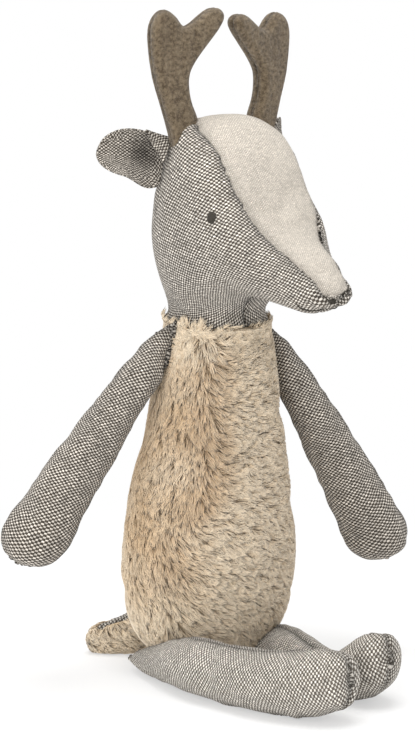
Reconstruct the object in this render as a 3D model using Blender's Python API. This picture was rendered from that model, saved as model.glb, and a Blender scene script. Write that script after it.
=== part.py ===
"""Seated plush deer, sewn from panels and stuffed. Metres, +Z up, the deer faces -Y.

The origin is the middle of the flat seat, on the surface that the toy sits on. Every
stuffed form is a loft of oval sections. Its cover is cut into sewn panels, and the
filling is the same form drawn in by the cloth and a clearance.
"""

import math

import bmesh
import bpy
import numpy as np
from mathutils import Vector

# Cloth and clearances
FABRIC = 0.0012
FELT = 0.0011
CLEARANCE = 0.0003
SEAM_GAP = 0.0003
FLOOR_FLAT = 0.0005
OVERRUN = 0.02
THREAD_HEIGHT = 0.0009
THREAD_WIDTH = 0.0018

# Torso, a stuffed pear that stands on its base panel
TORSO_HEIGHT = 0.1705
TORSO_HALF_WIDTH = 0.045
TORSO_HALF_DEPTH = 0.034
TORSO_LEAN = 0.008
# Each row: height, half width, half depth, lean forward
TORSO_SHARES = (
    (0.000, 0.44, 0.46, 0.00),
    (0.050, 0.60, 0.62, 0.00),
    (0.105, 0.79, 0.80, 0.02),
    (0.175, 0.93, 0.93, 0.04),
    (0.260, 0.99, 0.99, 0.06),
    (0.350, 1.00, 1.00, 0.10),
    (0.480, 0.95, 0.95, 0.22),
    (0.600, 0.87, 0.87, 0.38),
    (0.700, 0.78, 0.80, 0.55),
    (0.800, 0.71, 0.75, 0.72),
    (0.900, 0.65, 0.71, 0.88),
    (0.960, 0.60, 0.70, 0.96),
    (1.000, 0.54, 0.71, 1.00),
)
PELLET_SHARE = 0.25

# Head, from the neck seam over the crown to the nose
HEAD_LENGTH = 0.115
HEAD_HEIGHT = 0.099
HEAD_HALF_WIDTH = 0.036
HEAD_BACK = 0.017
MUZZLE_CAP = 0.0130
# Each row: upper point back to front, its height, lower point, its height, half
# width, blaze angle in degrees
HEAD_SHARES = (
    (0.000, 0.000, 0.405, 0.000, 0.670, 3.0),
    (0.025, 0.100, 0.390, 0.085, 0.620, 3.0),
    (0.010, 0.260, 0.430, 0.155, 0.770, 4.0),
    (0.000, 0.480, 0.500, 0.178, 0.930, 10.0),
    (0.035, 0.730, 0.560, 0.180, 0.990, 24.0),
    (0.140, 0.930, 0.615, 0.175, 0.990, 44.0),
    (0.290, 1.000, 0.665, 0.170, 0.950, 54.0),
    (0.430, 0.935, 0.715, 0.165, 0.850, 57.0),
    (0.530, 0.770, 0.765, 0.160, 0.700, 58.0),
    (0.605, 0.610, 0.810, 0.155, 0.570, 60.0),
    (0.715, 0.465, 0.865, 0.148, 0.455, 62.0),
    (0.865, 0.345, 0.935, 0.155, 0.370, 64.0),
)

# Embroidery on the head
EYE_LENGTH = 0.0062
EYE_WIDTH = 0.0050
EYE_PLACE_SHARE = 0.590
EYE_ANGLE = 91.0
NOSE_PLACE_SHARE = 1.68
NOSE_ANGLE = 72.0
NOSE_WIDTH = 0.0026
MOUTH_SHARES = (0.93, 1.0, 1.10, 1.16)
MOUTH_ANGLES = (118.0, 140.0, 162.0, 180.0)

# Ears, two cupped leaves on a pinched root
EAR_LENGTH = 0.031
EAR_HALF_WIDTH = 0.0130
EAR_CUP = 0.0050
EAR_ROOT_HALF = 0.0009
EAR_PLACE_SHARE = 0.430
EAR_ANGLE = 50.5
EAR_BACKWARD = 35.0
EAR_UPWARD = 10.0
EAR_LEAN = 16.0
EAR_SHARES = (
    (0.00, 0.78), (0.12, 0.90), (0.30, 0.98), (0.48, 1.00),
    (0.66, 0.94), (0.80, 0.80), (0.91, 0.58), (0.975, 0.32), (1.00, 0.12),
)

# Antlers, stuffed felt in the shape of a Y
ANTLER_HEIGHTS = {"left": 0.0525, "right": 0.056}
ANTLER_SPREAD = 0.039
ANTLER_HALF_THICKNESS = 0.0044
ANTLER_APART = 0.0226
ANTLER_SETBACK = 0.0113
ANTLER_RISE_SHARE = 0.9455
ANTLER_TOE = 10.0
# Each point: towards the middle of the head, and up
ANTLER_SHARES = (
    (-0.100, -0.340), (-0.190, -0.060), (-0.310, 0.218), (-0.405, 0.427),
    (-0.459, 0.679), (-0.459, 0.845), (-0.377, 0.954), (-0.256, 0.988),
    (-0.120, 0.920), (-0.028, 0.838), (0.108, 0.879), (0.270, 0.963),
    (0.418, 0.996), (0.520, 0.930), (0.444, 0.813), (0.203, 0.620),
    (0.054, 0.468), (0.041, 0.334), (0.082, 0.200), (0.185, 0.000), (0.120, -0.340),
)
# Each ring of the puffed felt: drawn in, and out of the seam plane
PUFF_SHARES = ((0.0, 0.0), (0.15, 0.60), (0.45, 1.0))
TIP_ROOM_SHARE = 0.8

# Arms, sewn flat into the side seams and hanging
ARM_REACH = 0.086
ARM_DROP = 0.127
ARM_HALF_THICKNESS = 0.0125
ARM_ROOT_HALF = 0.0019
HAND_CAP = 0.0165
ARM_ROOT_SHARES = {"left": (0.935, 0.785), "right": (0.985, 0.835)}
ARM_SWING = 38.0
ARM_DROOPS = {"left": 1.0, "right": -1.0}
# Each row: outer edge out and down, inner edge out and down, half thickness
ARM_SHARES = (
    (0.045, 0.060, 0.045, 0.235, 0.30),
    (0.130, 0.100, 0.090, 0.280, 0.50),
    (0.272, 0.203, 0.138, 0.335, 0.72),
    (0.437, 0.334, 0.232, 0.431, 0.88),
    (0.560, 0.440, 0.314, 0.535, 0.95),
    (0.706, 0.565, 0.420, 0.658, 1.00),
    (0.840, 0.690, 0.524, 0.787, 1.00),
    (0.940, 0.785, 0.600, 0.886, 0.98),
)

# Legs, stretched out in front of the seat and ending in upturned feet
LEG_LENGTH = 0.119
LEG_HALF_WIDTH = 0.0162
LEG_SPREAD = 0.035
FOOT_HEIGHT = 0.034
HIP_BACK = 0.012
SOLE_CAP = 0.016
LEG_ROOT_EDGE = 0.0018
# Each row: forward, underside, top, half width, distance from the middle
LEG_SHARES = {
    "left": (
        (0.000, 0.120, 0.260, 0.60, 0.82),
        (0.070, 0.050, 0.350, 0.70, 0.81),
        (0.170, 0.000, 0.480, 0.78, 0.77),
        (0.310, 0.000, 0.600, 0.86, 0.67),
        (0.460, 0.000, 0.620, 0.90, 0.56),
        (0.600, 0.000, 0.560, 0.92, 0.48),
        (0.730, 0.000, 0.540, 0.93, 0.45),
        (0.840, 0.020, 0.780, 0.95, 0.48),
        (0.930, 0.090, 0.980, 0.88, 0.50),
    ),
    "right": (
        (0.000, 0.120, 0.270, 0.58, 0.84),
        (0.070, 0.050, 0.370, 0.68, 0.86),
        (0.170, 0.000, 0.520, 0.77, 0.91),
        (0.310, 0.000, 0.700, 0.84, 0.98),
        (0.470, 0.000, 0.800, 0.87, 1.00),
        (0.630, 0.000, 0.820, 0.88, 0.93),
        (0.780, 0.000, 0.860, 0.92, 0.80),
        (0.910, 0.020, 0.960, 0.95, 0.64),
        (1.000, 0.100, 1.000, 0.86, 0.52),
    ),
}

# Tail, flat and sewn to the back just above the surface
TAIL_LENGTH = 0.020
TAIL_HALF_WIDTH = 0.0110
TAIL_HEIGHT = 0.022
TAIL_BEND = 0.014
TAIL_CAP = 0.008
TAIL_ROOT_EDGE = 0.0018
TAIL_PLACE_SHARE = 0.115
TAIL_ANGLE = 196.0
# Each row: outward, underside, top, half width, bent to the right
TAIL_SHARES = (
    (0.00, 0.700, 0.880, 0.72, 0.00),
    (0.20, 0.450, 0.920, 0.88, 0.12),
    (0.45, 0.180, 0.960, 0.98, 0.38),
    (0.72, 0.010, 0.930, 1.00, 0.70),
    (1.00, 0.000, 0.760, 0.92, 1.05),
)

# Mesh fineness
TORSO_COLUMNS = 8
HEAD_COLUMNS = 6
LIMB_COLUMNS = 6
TIP_SHARE = 0.05
CAP_ROWS = 3
UNSTUFFED_SHARE = 0.13

parts = bpy.data.collections.new("plush_deer")
cutters = bpy.data.collections.new("plush_deer_cutters")


def clear_scene():
    """Remove what the start-up file holds."""
    for thing in list(bpy.data.objects):
        bpy.data.objects.remove(thing, do_unlink=True)


def finish(name, colour, roughness):
    """A Principled material of one colour."""
    material = bpy.data.materials.new(name)
    material.use_nodes = True
    shader = material.node_tree.nodes["Principled BSDF"]
    shader.inputs["Base Color"].default_value = (*colour, 1.0)
    shader.inputs["Roughness"].default_value = roughness
    shader.inputs["Metallic"].default_value = 0.0
    return material


def length_of(vector):
    return float(np.linalg.norm(vector))


def unit(vector):
    return vector / length_of(vector)


def turned(points, origin, axis, degrees):
    """Points turned about a line through the origin point."""
    turn = math.radians(degrees)
    axis = unit(np.array(axis))
    arms = np.asarray(points) - origin
    along = (arms @ axis)[..., None] * axis
    across = np.cross(axis, arms)
    return origin + along + (arms - along) * math.cos(turn) + across * math.sin(turn)


def smooth(table, share):
    """A curve through the rows of a table, read at a share of its length."""
    table = np.asarray(table)
    place = min(max(share, 0.0), 1.0) * (len(table) - 1)
    first = min(int(place), len(table) - 2)
    t = place - first
    before = table[first - 1] if first > 0 else 2 * table[0] - table[1]
    start, stop = table[first], table[first + 1]
    after = table[first + 2] if first + 2 < len(table) else 2 * stop - start
    bend = 2 * before - 5 * start + 4 * stop - after
    twist = 3 * start - before - 3 * stop + after
    return 0.5 * (2 * start + (stop - before) * t + bend * t ** 2 + twist * t ** 3)


class Form:
    """A stuffed form: oval sections from a root to a rounded end."""

    def __init__(self, outer, inner, side, cap=0.0, power=2.0, edge=0.0, thin="half", square=2.0, tall=None,
                 walled=False):
        outer, inner, side = np.array(outer), np.array(inner), np.array(side)
        self.table = np.hstack([(outer + inner) / 2, (outer - inner) / 2, side])
        self.cap, self.power, self.edge, self.thin, self.square = cap, power, edge, thin, square
        self.tall, self.walled = tall or power, walled
        self.start_way = unit(self.table[0, :3] - self.table[1, :3])
        self.end_way = unit(self.table[-1, :3] - self.table[-2, :3])

    def row(self, share, inset=0.0):
        """Centre and the two half axes; below 0 is the root edge, past 1 the end."""
        columns = smooth(self.table, share)
        centre, half, side = columns[:3], columns[3:6], columns[6:]
        half, side = self.drawn_in(share, half, side, inset)
        if share > 1.0:
            turn = (share - 1.0) * math.pi / 2
            reach = (self.cap - inset) * math.sin(turn) ** (2 / self.power)
            shrink = max(math.cos(turn), 0.0)
            half, side = half * shrink ** (2 / self.tall), side * shrink ** (2 / self.power)
            return centre + self.end_way * reach, half, side
        if share < 0.0:
            turn = -share * math.pi / 2
            centre = centre + self.start_way * self.edge * math.sin(turn)
            thinner = 0.5 + 0.5 * math.cos(turn)
            if self.thin == "half":
                half = half * thinner
            else:
                side = side * thinner
        return centre, half, side

    def drawn_in(self, share, half, side, inset):
        """Both half axes shortened by the inset, more where the wall slopes."""
        step = 0.01
        low, high = smooth(self.table, share - step), smooth(self.table, share + step)
        travel = max(length_of(high[:3] - low[:3]), length_of(half) * step)
        shortened = []
        for axis, first in ((half, 3), (side, 6)):
            rise = length_of(high[first:first + 3]) - length_of(low[first:first + 3])
            slope = min(math.hypot(1.0, rise / travel), 1.5)
            size = length_of(axis)
            shortened.append(axis * max(1.0 - inset * slope / size, 0.3))
        return shortened

    def point(self, share, angle, inset=0.0):
        """A point of the surface; angle 0 is the outer edge."""
        if self.walled and inset:
            return self.point(share, angle) - self.inset_way(share, angle) * inset
        centre, half, side = self.row(share, inset)
        turn = math.radians(angle)
        along, across = math.cos(turn), math.sin(turn)
        bulge = (abs(along) ** self.square + abs(across) ** self.square) ** (-1 / self.square)
        return centre + (half * along + side * across) * bulge

    def normal(self, share, angle):
        """The way out of the surface at a point."""
        step = 0.01
        along = self.point(share + step, angle) - self.point(share - step, angle)
        around = self.point(share, angle + 1.0) - self.point(share, angle - 1.0)
        way = unit(np.cross(around, along))
        outward = self.point(share, angle) - self.row(share)[0]
        return way if way @ outward > 0 else -way

    def inset_way(self, share, angle):
        """The way out that keeps the first section in its own plane."""
        way = self.normal(share, angle)
        if share <= 0.0:
            plane = unit(np.cross(*self.row(share)[1:]))
            way = unit(way - plane * (way @ plane))
        return way

    def shares(self, rows):
        """Places of the sections, with the root edge and the rounded end."""
        places = [-1.0, -0.5] if self.edge else []
        places += [k / (rows - 1) for k in range(rows)]
        if self.cap:
            tip = math.acos(TIP_SHARE ** (self.power / 2)) / (math.pi / 2)
            places += [1.0 + k / CAP_ROWS for k in range(1, CAP_ROWS)] + [1.0 + tip]
        return places


def add_object(name, points, faces, material, origin=(0, 0, 0), collection=parts):
    """A mesh object whose origin is the given point."""
    points = np.array(points) - np.array(origin)
    mesh = bpy.data.meshes.new(name)
    mesh.from_pydata([tuple(point) for point in points], [], faces)
    work = bmesh.new()
    work.from_mesh(mesh)
    bmesh.ops.recalc_face_normals(work, faces=work.faces)
    work.to_mesh(mesh)
    work.free()
    mesh.shade_smooth()
    mesh.set_sharp_from_angle(angle=math.radians(50))
    mesh.materials.append(material)
    thing = bpy.data.objects.new(name, mesh)
    thing.location = Vector(origin)
    collection.objects.link(thing)
    return thing


def quads(rows, columns, start=0, closed=False):
    """Faces of a grid of points, row by row."""
    faces = []
    for i in range(rows - 1):
        for j in range(columns if closed else columns - 1):
            here = start + i * columns
            beside = (j + 1) % columns
            faces.append((here + j, here + beside, here + columns + beside, here + columns + j))
    return faces


def add_shell(name, outer, inner, material, origin=(0, 0, 0)):
    """A wall between two matching grids of points, closed along its rim."""
    rows, columns = outer.shape[:2]
    count = rows * columns
    faces = quads(rows, columns) + quads(rows, columns, count)
    rim = [j for j in range(columns)]
    rim += [i * columns + columns - 1 for i in range(1, rows)]
    rim += [(rows - 1) * columns + j for j in range(columns - 2, -1, -1)]
    rim += [i * columns for i in range(rows - 2, 0, -1)]
    for here, there in zip(rim, rim[1:] + rim[:1]):
        faces.append((here, there, there + count, here + count))
    points = np.vstack([outer.reshape(-1, 3), inner.reshape(-1, 3)])
    return add_object(name, points, faces, material, origin)


def add_stack(name, rings, material, origin=(0, 0, 0), collection=parts):
    """A solid through closed rings of points, with a face at each end."""
    rings = np.array(rings)
    rows, columns = rings.shape[:2]
    faces = quads(rows, columns, closed=True)
    faces.append(tuple(range(columns)))
    faces.append(tuple(range((rows - 1) * columns, rows * columns)))
    return add_object(name, rings.reshape(-1, 3), faces, material, origin, collection)


def seam_turn(form, share, angle, inset):
    """Degrees that a panel edge draws back so that the seam keeps its gap."""
    half, side = form.row(share, inset)[1:]
    turn = math.radians(angle)
    speed = length_of(side * math.cos(turn) - half * math.sin(turn))
    return math.degrees(min(SEAM_GAP / 2 / speed, 0.6))


def panel_grid(form, places, start, stop, columns, inset):
    """Points of one cover panel between two seam angles."""
    grid = []
    for place in places:
        first, last = start(place), stop(place)
        first += seam_turn(form, place, first, inset)
        last -= seam_turn(form, place, last, inset)
        angles = np.linspace(first, last, columns + 1)
        grid.append([form.point(place, angle, inset) for angle in angles])
    return np.array(grid)


def sew_panel(name, form, places, start, stop, columns, material, origin=(0, 0, 0)):
    """One cover panel: cloth between the form and the form drawn in."""
    outer = panel_grid(form, places, start, stop, columns, 0.0)
    inner = panel_grid(form, places, start, stop, columns, FABRIC)
    return add_shell(name, outer, inner, material, origin)


def fixed(angle):
    """A seam that keeps one angle along the form."""
    return lambda place: angle


def evenly(columns):
    """Section corners at even angles, the same at each place."""
    return lambda place: np.arange(columns) * (360.0 / columns)


def form_rings(form, places, corners, inset):
    """Closed rings of a whole form."""
    return np.array([[form.point(place, angle, inset) for angle in corners(place)] for place in places])


def stuff(name, form, places, corners, material, origin=(0, 0, 0), trims=(0.0, 0.0)):
    """The filling of a form, trimmed back at its two ends."""
    rings = form_rings(form, places, corners, FABRIC + CLEARANCE)
    rings[0] -= form.start_way * trims[0]
    rings[-1] -= form.end_way * trims[1]
    return add_stack(name, rings, material, origin)


def clearance_form(name, form, places, corners):
    """A form grown by the clearance, to cut what is sewn against it."""
    rings = form_rings(form, places, corners, -CLEARANCE)
    cutter = add_stack(name, rings, finishes["filling"], collection=cutters)
    cutter.hide_render = True
    cutter.display_type = "WIRE"
    return cutter


def cut(thing, cutter):
    """Take the cutter's space out of a piece."""
    modifier = thing.modifiers.new("cut_by_" + cutter.name, "BOOLEAN")
    modifier.operation = "DIFFERENCE"
    modifier.object = cutter


def torso_form():
    rows = np.array(TORSO_SHARES)
    height = rows[:, 0] * TORSO_HEIGHT
    depth = rows[:, 2] * TORSO_HALF_DEPTH
    middle = -rows[:, 3] * TORSO_LEAN
    zero = np.zeros(len(rows))
    front = np.stack([zero, middle - depth, height], 1)
    back = np.stack([zero, middle + depth, height], 1)
    side = np.stack([rows[:, 1] * TORSO_HALF_WIDTH, zero, zero], 1)
    return Form(front, back, side)


def head_form():
    rows = np.array(HEAD_SHARES)
    seam = TORSO_HEIGHT + CLEARANCE
    zero = np.zeros(len(rows))
    upper = np.stack([zero, HEAD_BACK - rows[:, 0] * HEAD_LENGTH, seam + rows[:, 1] * HEAD_HEIGHT], 1)
    lower = np.stack([zero, HEAD_BACK - rows[:, 2] * HEAD_LENGTH, seam + rows[:, 3] * HEAD_HEIGHT], 1)
    side = np.stack([rows[:, 4] * HEAD_HALF_WIDTH, zero, zero], 1)
    return Form(upper, lower, side, cap=MUZZLE_CAP, power=2.2, square=2.4, walled=True)


def blaze_edge(place):
    """Half angle of the pale gusset at a place along the head."""
    return float(smooth(np.array(HEAD_SHARES)[:, 5:6], place)[0])


def head_corners(place):
    """Section corners of the head, with one on each seam."""
    edge, steps = blaze_edge(place), HEAD_COLUMNS + 1
    blaze = np.linspace(-edge, edge, steps)[:-1]
    left = np.linspace(edge, 180.0, steps)[:-1]
    right = np.linspace(180.0, 360.0 - edge, steps)[:-1]
    return np.concatenate([blaze, left, right])


def build_torso(form):
    """Furry front and back panels, flat woven base, pellets and filling."""
    places = form.shares(13)
    sew_panel("torso_front_panel", form, places, fixed(-90.0), fixed(90.0),
              TORSO_COLUMNS, finishes["fur"])
    sew_panel("torso_back_panel", form, places, fixed(90.0), fixed(270.0),
              TORSO_COLUMNS, finishes["fur"])
    base = form_rings(form, [0.0, 0.0], evenly(2 * TORSO_COLUMNS), FABRIC + CLEARANCE)
    base[1, :, 2] += FABRIC
    add_stack("seat_base", base, finishes["tweed"])
    low = [place for place in places if place <= PELLET_SHARE]
    stuff("pellet_bag", form, low, evenly(2 * TORSO_COLUMNS), finishes["lining"],
          trims=(FABRIC + CLEARANCE, CLEARANCE))
    high = [place for place in places if place >= PELLET_SHARE]
    stuff("torso_filling", form, high, evenly(2 * TORSO_COLUMNS), finishes["filling"],
          trims=(0.0, CLEARANCE))


def build_head(form, pivot):
    """Two woven side panels, the pale blaze between them, and the filling."""
    places = form.shares(13)
    sew_panel("head_left_panel", form, places, blaze_edge, fixed(180.0),
              HEAD_COLUMNS, finishes["tweed"], pivot)
    sew_panel("head_right_panel", form, places, fixed(180.0),
              lambda place: 360.0 - blaze_edge(place), HEAD_COLUMNS, finishes["tweed"], pivot)
    sew_panel("face_blaze", form, places, lambda place: -blaze_edge(place), blaze_edge,
              HEAD_COLUMNS, finishes["linen"], pivot)
    stuff("head_filling", form, places, head_corners, finishes["filling"], pivot,
          trims=(CLEARANCE, 0.0))


def build_eye(form, pivot, name, hand):
    """A domed oval of satin stitch that lies on the side panel."""
    middle = form.point(EYE_PLACE_SHARE, hand * EYE_ANGLE)
    out = form.normal(EYE_PLACE_SHARE, hand * EYE_ANGLE)
    up = unit(np.array((0.0, 0.0, 1.0)) - out * out[2])
    across = np.cross(up, out)
    rings = []
    for shrink, lift in ((0.86, 0.0), (1.0, 0.35), (0.72, 0.85), (0.30, 1.0)):
        ring = []
        for turn in np.arange(12) * (math.tau / 12):
            oval = up * math.cos(turn) * EYE_LENGTH + across * math.sin(turn) * EYE_WIDTH
            ring.append(middle + oval * shrink / 2 + out * (CLEARANCE + lift * THREAD_HEIGHT))
        rings.append(ring)
    add_stack(name, rings, finishes["thread"], pivot)


def build_stitch_line(form, pivot, name, places, angles, width):
    """A ribbon of stitches that follows the surface."""
    spots = [form.point(place, angle, -CLEARANCE) for place, angle in zip(places, angles)]
    rings = []
    for k, spot in enumerate(spots):
        ahead, behind = spots[min(k + 1, len(spots) - 1)], spots[max(k - 1, 0)]
        out = form.normal(places[k], angles[k])
        across = unit(np.cross(unit(ahead - behind), out)) * width / 2
        top = out * THREAD_HEIGHT
        rings.append([spot - across, spot - across * 0.6 + top, spot + across * 0.6 + top, spot + across])
    add_stack(name, rings, finishes["thread"], pivot)


def build_face(form, pivot):
    """Eyes, nose bar and smile, all embroidered."""
    build_eye(form, pivot, "left_eye", 1)
    build_eye(form, pivot, "right_eye", -1)
    arc = np.linspace(-NOSE_ANGLE, NOSE_ANGLE, 9)
    build_stitch_line(form, pivot, "nose_embroidery", [NOSE_PLACE_SHARE] * 9, list(arc), NOSE_WIDTH)
    steps = np.linspace(0.0, 1.0, 6)
    table = np.array([MOUTH_SHARES, MOUTH_ANGLES]).T
    half = [tuple(smooth(table, step)) for step in steps]
    path = half + [(place, 360.0 - angle) for place, angle in half[-2::-1]]
    build_stitch_line(form, pivot, "mouth_embroidery", [spot[0] for spot in path],
                      [spot[1] for spot in path], THREAD_WIDTH)


def ear_frame(form, hand):
    """Hinge point of an ear with its length, width and front directions."""
    spot = form.point(EAR_PLACE_SHARE, hand * EAR_ANGLE)
    out = form.normal(EAR_PLACE_SHARE, hand * EAR_ANGLE)
    hinge = spot + out * (EAR_ROOT_HALF * 2.6 + CLEARANCE)
    back, up, lean = math.radians(EAR_BACKWARD), math.radians(EAR_UPWARD), math.radians(EAR_LEAN)
    along = np.array((hand * math.cos(back) * math.cos(up), math.sin(back) * math.cos(up), math.sin(up)))
    width = np.array((-hand * math.sin(lean), 0.0, math.cos(lean)))
    width = unit(width - along * (width @ along))
    front = np.cross(along, width) * hand
    return hinge, along, width, front if front[1] < 0 else -front


def build_ear(form, name, hand):
    """Front and back leaves of one ear, cupped towards the front."""
    hinge, along, width, front = ear_frame(form, hand)
    start = hinge - along * EAR_ROOT_HALF * 1.5
    layers = (("front", 1), ("back", -1))
    for layer, way in layers:
        near, far = [], []
        for reach, wide in EAR_SHARES:
            cup = EAR_CUP * min(reach * 3.0, 1.0)
            cloth = EAR_ROOT_HALF + (FABRIC - EAR_ROOT_HALF) * min(reach * 4.0, 1.0)
            near_row, far_row = [], []
            for across in np.linspace(-1.0, 1.0, 7):
                spot = start + along * reach * EAR_LENGTH
                spot = spot + width * across * wide * EAR_HALF_WIDTH
                spot = spot + front * cup * (across * wide) ** 2
                near_row.append(spot + front * way * CLEARANCE / 2)
                far_row.append(spot + front * way * (CLEARANCE / 2 + cloth))
            near.append(near_row)
            far.append(far_row)
        add_shell(name + "_" + layer, np.array(far), np.array(near), finishes["tweed"], hinge)


def antler_outline(side, drawn):
    """The Y outline, drawn in by a length; points towards the middle and up."""
    knots = np.array(ANTLER_SHARES) * (ANTLER_SPREAD, ANTLER_HEIGHTS[side])
    before, after = np.roll(knots, 1, 0), np.roll(knots, -1, 0)
    between = (9 * (knots + after) - before - np.roll(knots, -2, 0)) / 16
    corners = np.stack([knots, between], 1)[:-1].reshape(-1, 2)
    corners = np.vstack([corners, knots[-1:]])
    after, before = np.roll(corners, -1, 0), np.roll(corners, 1, 0)
    way = after - before
    span = np.linalg.norm(way, axis=1)
    inward = np.stack([way[:, 1], -way[:, 0]], 1) / span[:, None]
    first, second = corners - before, after - corners
    bend = first[:, 1] * second[:, 0] - first[:, 0] * second[:, 1]
    bend = np.arcsin(bend / np.linalg.norm(first, axis=1) / np.linalg.norm(second, axis=1))
    room = TIP_ROOM_SHARE * span / 2 / np.maximum(bend, 0.01)
    return corners + inward * np.minimum(drawn, room)[:, None]


def antler_rings(name, hand, drawn, thinner, way):
    """Rings of one puffed face of an antler, in world points."""
    toe = math.radians(ANTLER_TOE)
    inner = np.array((-hand * math.cos(toe), -math.sin(toe), 0.0))
    up = np.array((0.0, 0.0, 1.0))
    front = np.array((hand * math.sin(toe), -math.cos(toe), 0.0))
    foot_height = TORSO_HEIGHT + CLEARANCE + ANTLER_RISE_SHARE * HEAD_HEIGHT
    foot = np.array((hand * ANTLER_APART, -ANTLER_SETBACK, foot_height))
    rings = []
    for inset, rise in PUFF_SHARES:
        outline = antler_outline(name, inset * ANTLER_HALF_THICKNESS + drawn)
        lift = max(rise * ANTLER_HALF_THICKNESS - thinner, 0.0) if rise else 0.0
        lift = lift + SEAM_GAP / 2
        rings.append(foot + outline[:, :1] * inner + outline[:, 1:] * up + front * way * lift)
    return np.array(rings)


def add_felt(name, outer, inner, pivot):
    """One felt layer: a puffed face, its underside, and the rim between them."""
    rows, columns = outer.shape[:2]
    count = rows * columns
    faces = quads(rows, columns, closed=True) + quads(rows, columns, count, closed=True)
    faces.append(tuple(range((rows - 1) * columns, count)))
    faces.append(tuple(range(count + (rows - 1) * columns, 2 * count)))
    faces += [(j, (j + 1) % columns, count + (j + 1) % columns, count + j) for j in range(columns)]
    points = np.vstack([outer.reshape(-1, 3), inner.reshape(-1, 3)])
    return add_object(name, points, faces, finishes["felt"], pivot)


def build_antler(side, hand, pivot, head_cutter):
    """Two felt layers sewn round the edge over a filling."""
    made = []
    name = side + "_antler"
    for layer, way in (("front", 1), ("back", -1)):
        outer = antler_rings(side, hand, 0.0, 0.0, way)
        inner = antler_rings(side, hand, FELT, FELT, way)
        made.append(add_felt(name + "_" + layer, outer, inner, pivot))
    gap = FELT + CLEARANCE * 2
    front = antler_rings(side, hand, gap, gap, 1)
    back = antler_rings(side, hand, gap, gap, -1)
    made.append(add_stack(name + "_filling", np.vstack([front[::-1], back]), finishes["filling"], pivot))
    for thing in made:
        cut(thing, head_cutter)


def arm_frame(torso, side, hand):
    """Hinge line of an arm: two points beside the torso's side seam."""
    ends = []
    for share in ARM_ROOT_SHARES[side]:
        spot = torso.point(share, hand * 90.0)
        ends.append(spot + np.array((hand * (ARM_ROOT_HALF + CLEARANCE), 0.0, 0.0)))
    return ends


def arm_form(torso, name, hand):
    """The arm as it hangs in the side plane, swung about its hinge line."""
    top, bottom = arm_frame(torso, name, hand)
    rows = np.array(ARM_SHARES)
    zero = np.zeros(len(rows))
    outer = np.stack([hand * rows[:, 0] * ARM_REACH, zero, -rows[:, 1] * ARM_DROP], 1)
    inner = np.stack([hand * rows[:, 2] * ARM_REACH, zero, -rows[:, 3] * ARM_DROP], 1)
    side = np.stack([zero, -rows[:, 4] * ARM_HALF_THICKNESS, zero], 1)
    side[0] *= ARM_ROOT_HALF / length_of(side[0])
    shift = (top + bottom) / 2 - (outer[0] + inner[0]) / 2
    outer, inner = outer + shift, inner + shift
    axis = bottom - top
    middle = (top + bottom) / 2
    root = unit(axis) * length_of(outer[0] - inner[0]) / 2
    outer[0], inner[0] = middle - root, middle + root
    for row in range(1, len(rows)):
        bend = hand * ARM_DROOPS[name] * min(row / 2, 1.0)
        outer[row] = turned(outer[row], middle, (0.0, 1.0, 0.0), bend)
        inner[row] = turned(inner[row], middle, (0.0, 1.0, 0.0), bend)
    outer, inner = turned(outer, middle, axis, ARM_SWING), turned(inner, middle, axis, ARM_SWING)
    side = turned(side + middle, middle, axis, ARM_SWING) - middle
    form = Form(outer, inner, side, cap=HAND_CAP, power=2.2, edge=ARM_ROOT_HALF, thin="side")
    return form, middle


def build_arm(torso, side, hand):
    """Front and back panels of one arm over its filling."""
    name = side + "_arm"
    form, pivot = arm_form(torso, side, hand)
    places = form.shares(9)
    sew_panel(name + "_front_panel", form, places, fixed(0.0), fixed(180.0),
              LIMB_COLUMNS, finishes["tweed"], pivot)
    sew_panel(name + "_back_panel", form, places, fixed(180.0), fixed(360.0),
              LIMB_COLUMNS, finishes["tweed"], pivot)
    stuffed = [place for place in places if place > UNSTUFFED_SHARE]
    stuff(name + "_filling", form, stuffed, evenly(2 * LIMB_COLUMNS), finishes["filling"], pivot)


def leg_form(name, hand):
    """A boot-shaped leg that ends in a ridge along the seam of the sole."""
    rows = np.array(LEG_SHARES[name])
    forward = HIP_BACK - rows[:, 0] * LEG_LENGTH
    middle = hand * rows[:, 4] * LEG_SPREAD
    zero = np.zeros(len(rows))
    top = np.stack([middle, forward, rows[:, 2] * FOOT_HEIGHT], 1)
    under = np.stack([middle, forward, rows[:, 1] * FOOT_HEIGHT - FLOOR_FLAT], 1)
    side = np.stack([rows[:, 3] * LEG_HALF_WIDTH, zero, zero], 1)
    return Form(top, under, side, cap=SOLE_CAP, power=2.0, edge=LEG_ROOT_EDGE, tall=4.0)


def build_leg(side, hand, torso_cutter, floor):
    """Outer and inner panels of one leg, seamed down the middle of the sole."""
    name, form = side + "_leg", leg_form(side, hand)
    pivot = form.point(-1.0, 0.0)
    places = form.shares(11)
    stuffed = [place for place in places if place > UNSTUFFED_SHARE]
    outer_side = (fixed(0.0), fixed(180.0))
    inner_side = (fixed(180.0), fixed(360.0))
    if hand < 0:
        outer_side, inner_side = inner_side, outer_side
    made = [
        sew_panel(name + "_outer_panel", form, places, *outer_side, LIMB_COLUMNS, finishes["tweed"], pivot),
        sew_panel(name + "_inner_panel", form, places, *inner_side, LIMB_COLUMNS, finishes["tweed"], pivot),
        stuff(name + "_filling", form, stuffed, evenly(2 * LIMB_COLUMNS), finishes["filling"], pivot),
    ]
    for thing in made:
        cut(thing, torso_cutter)
        cut(thing, floor)


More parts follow.
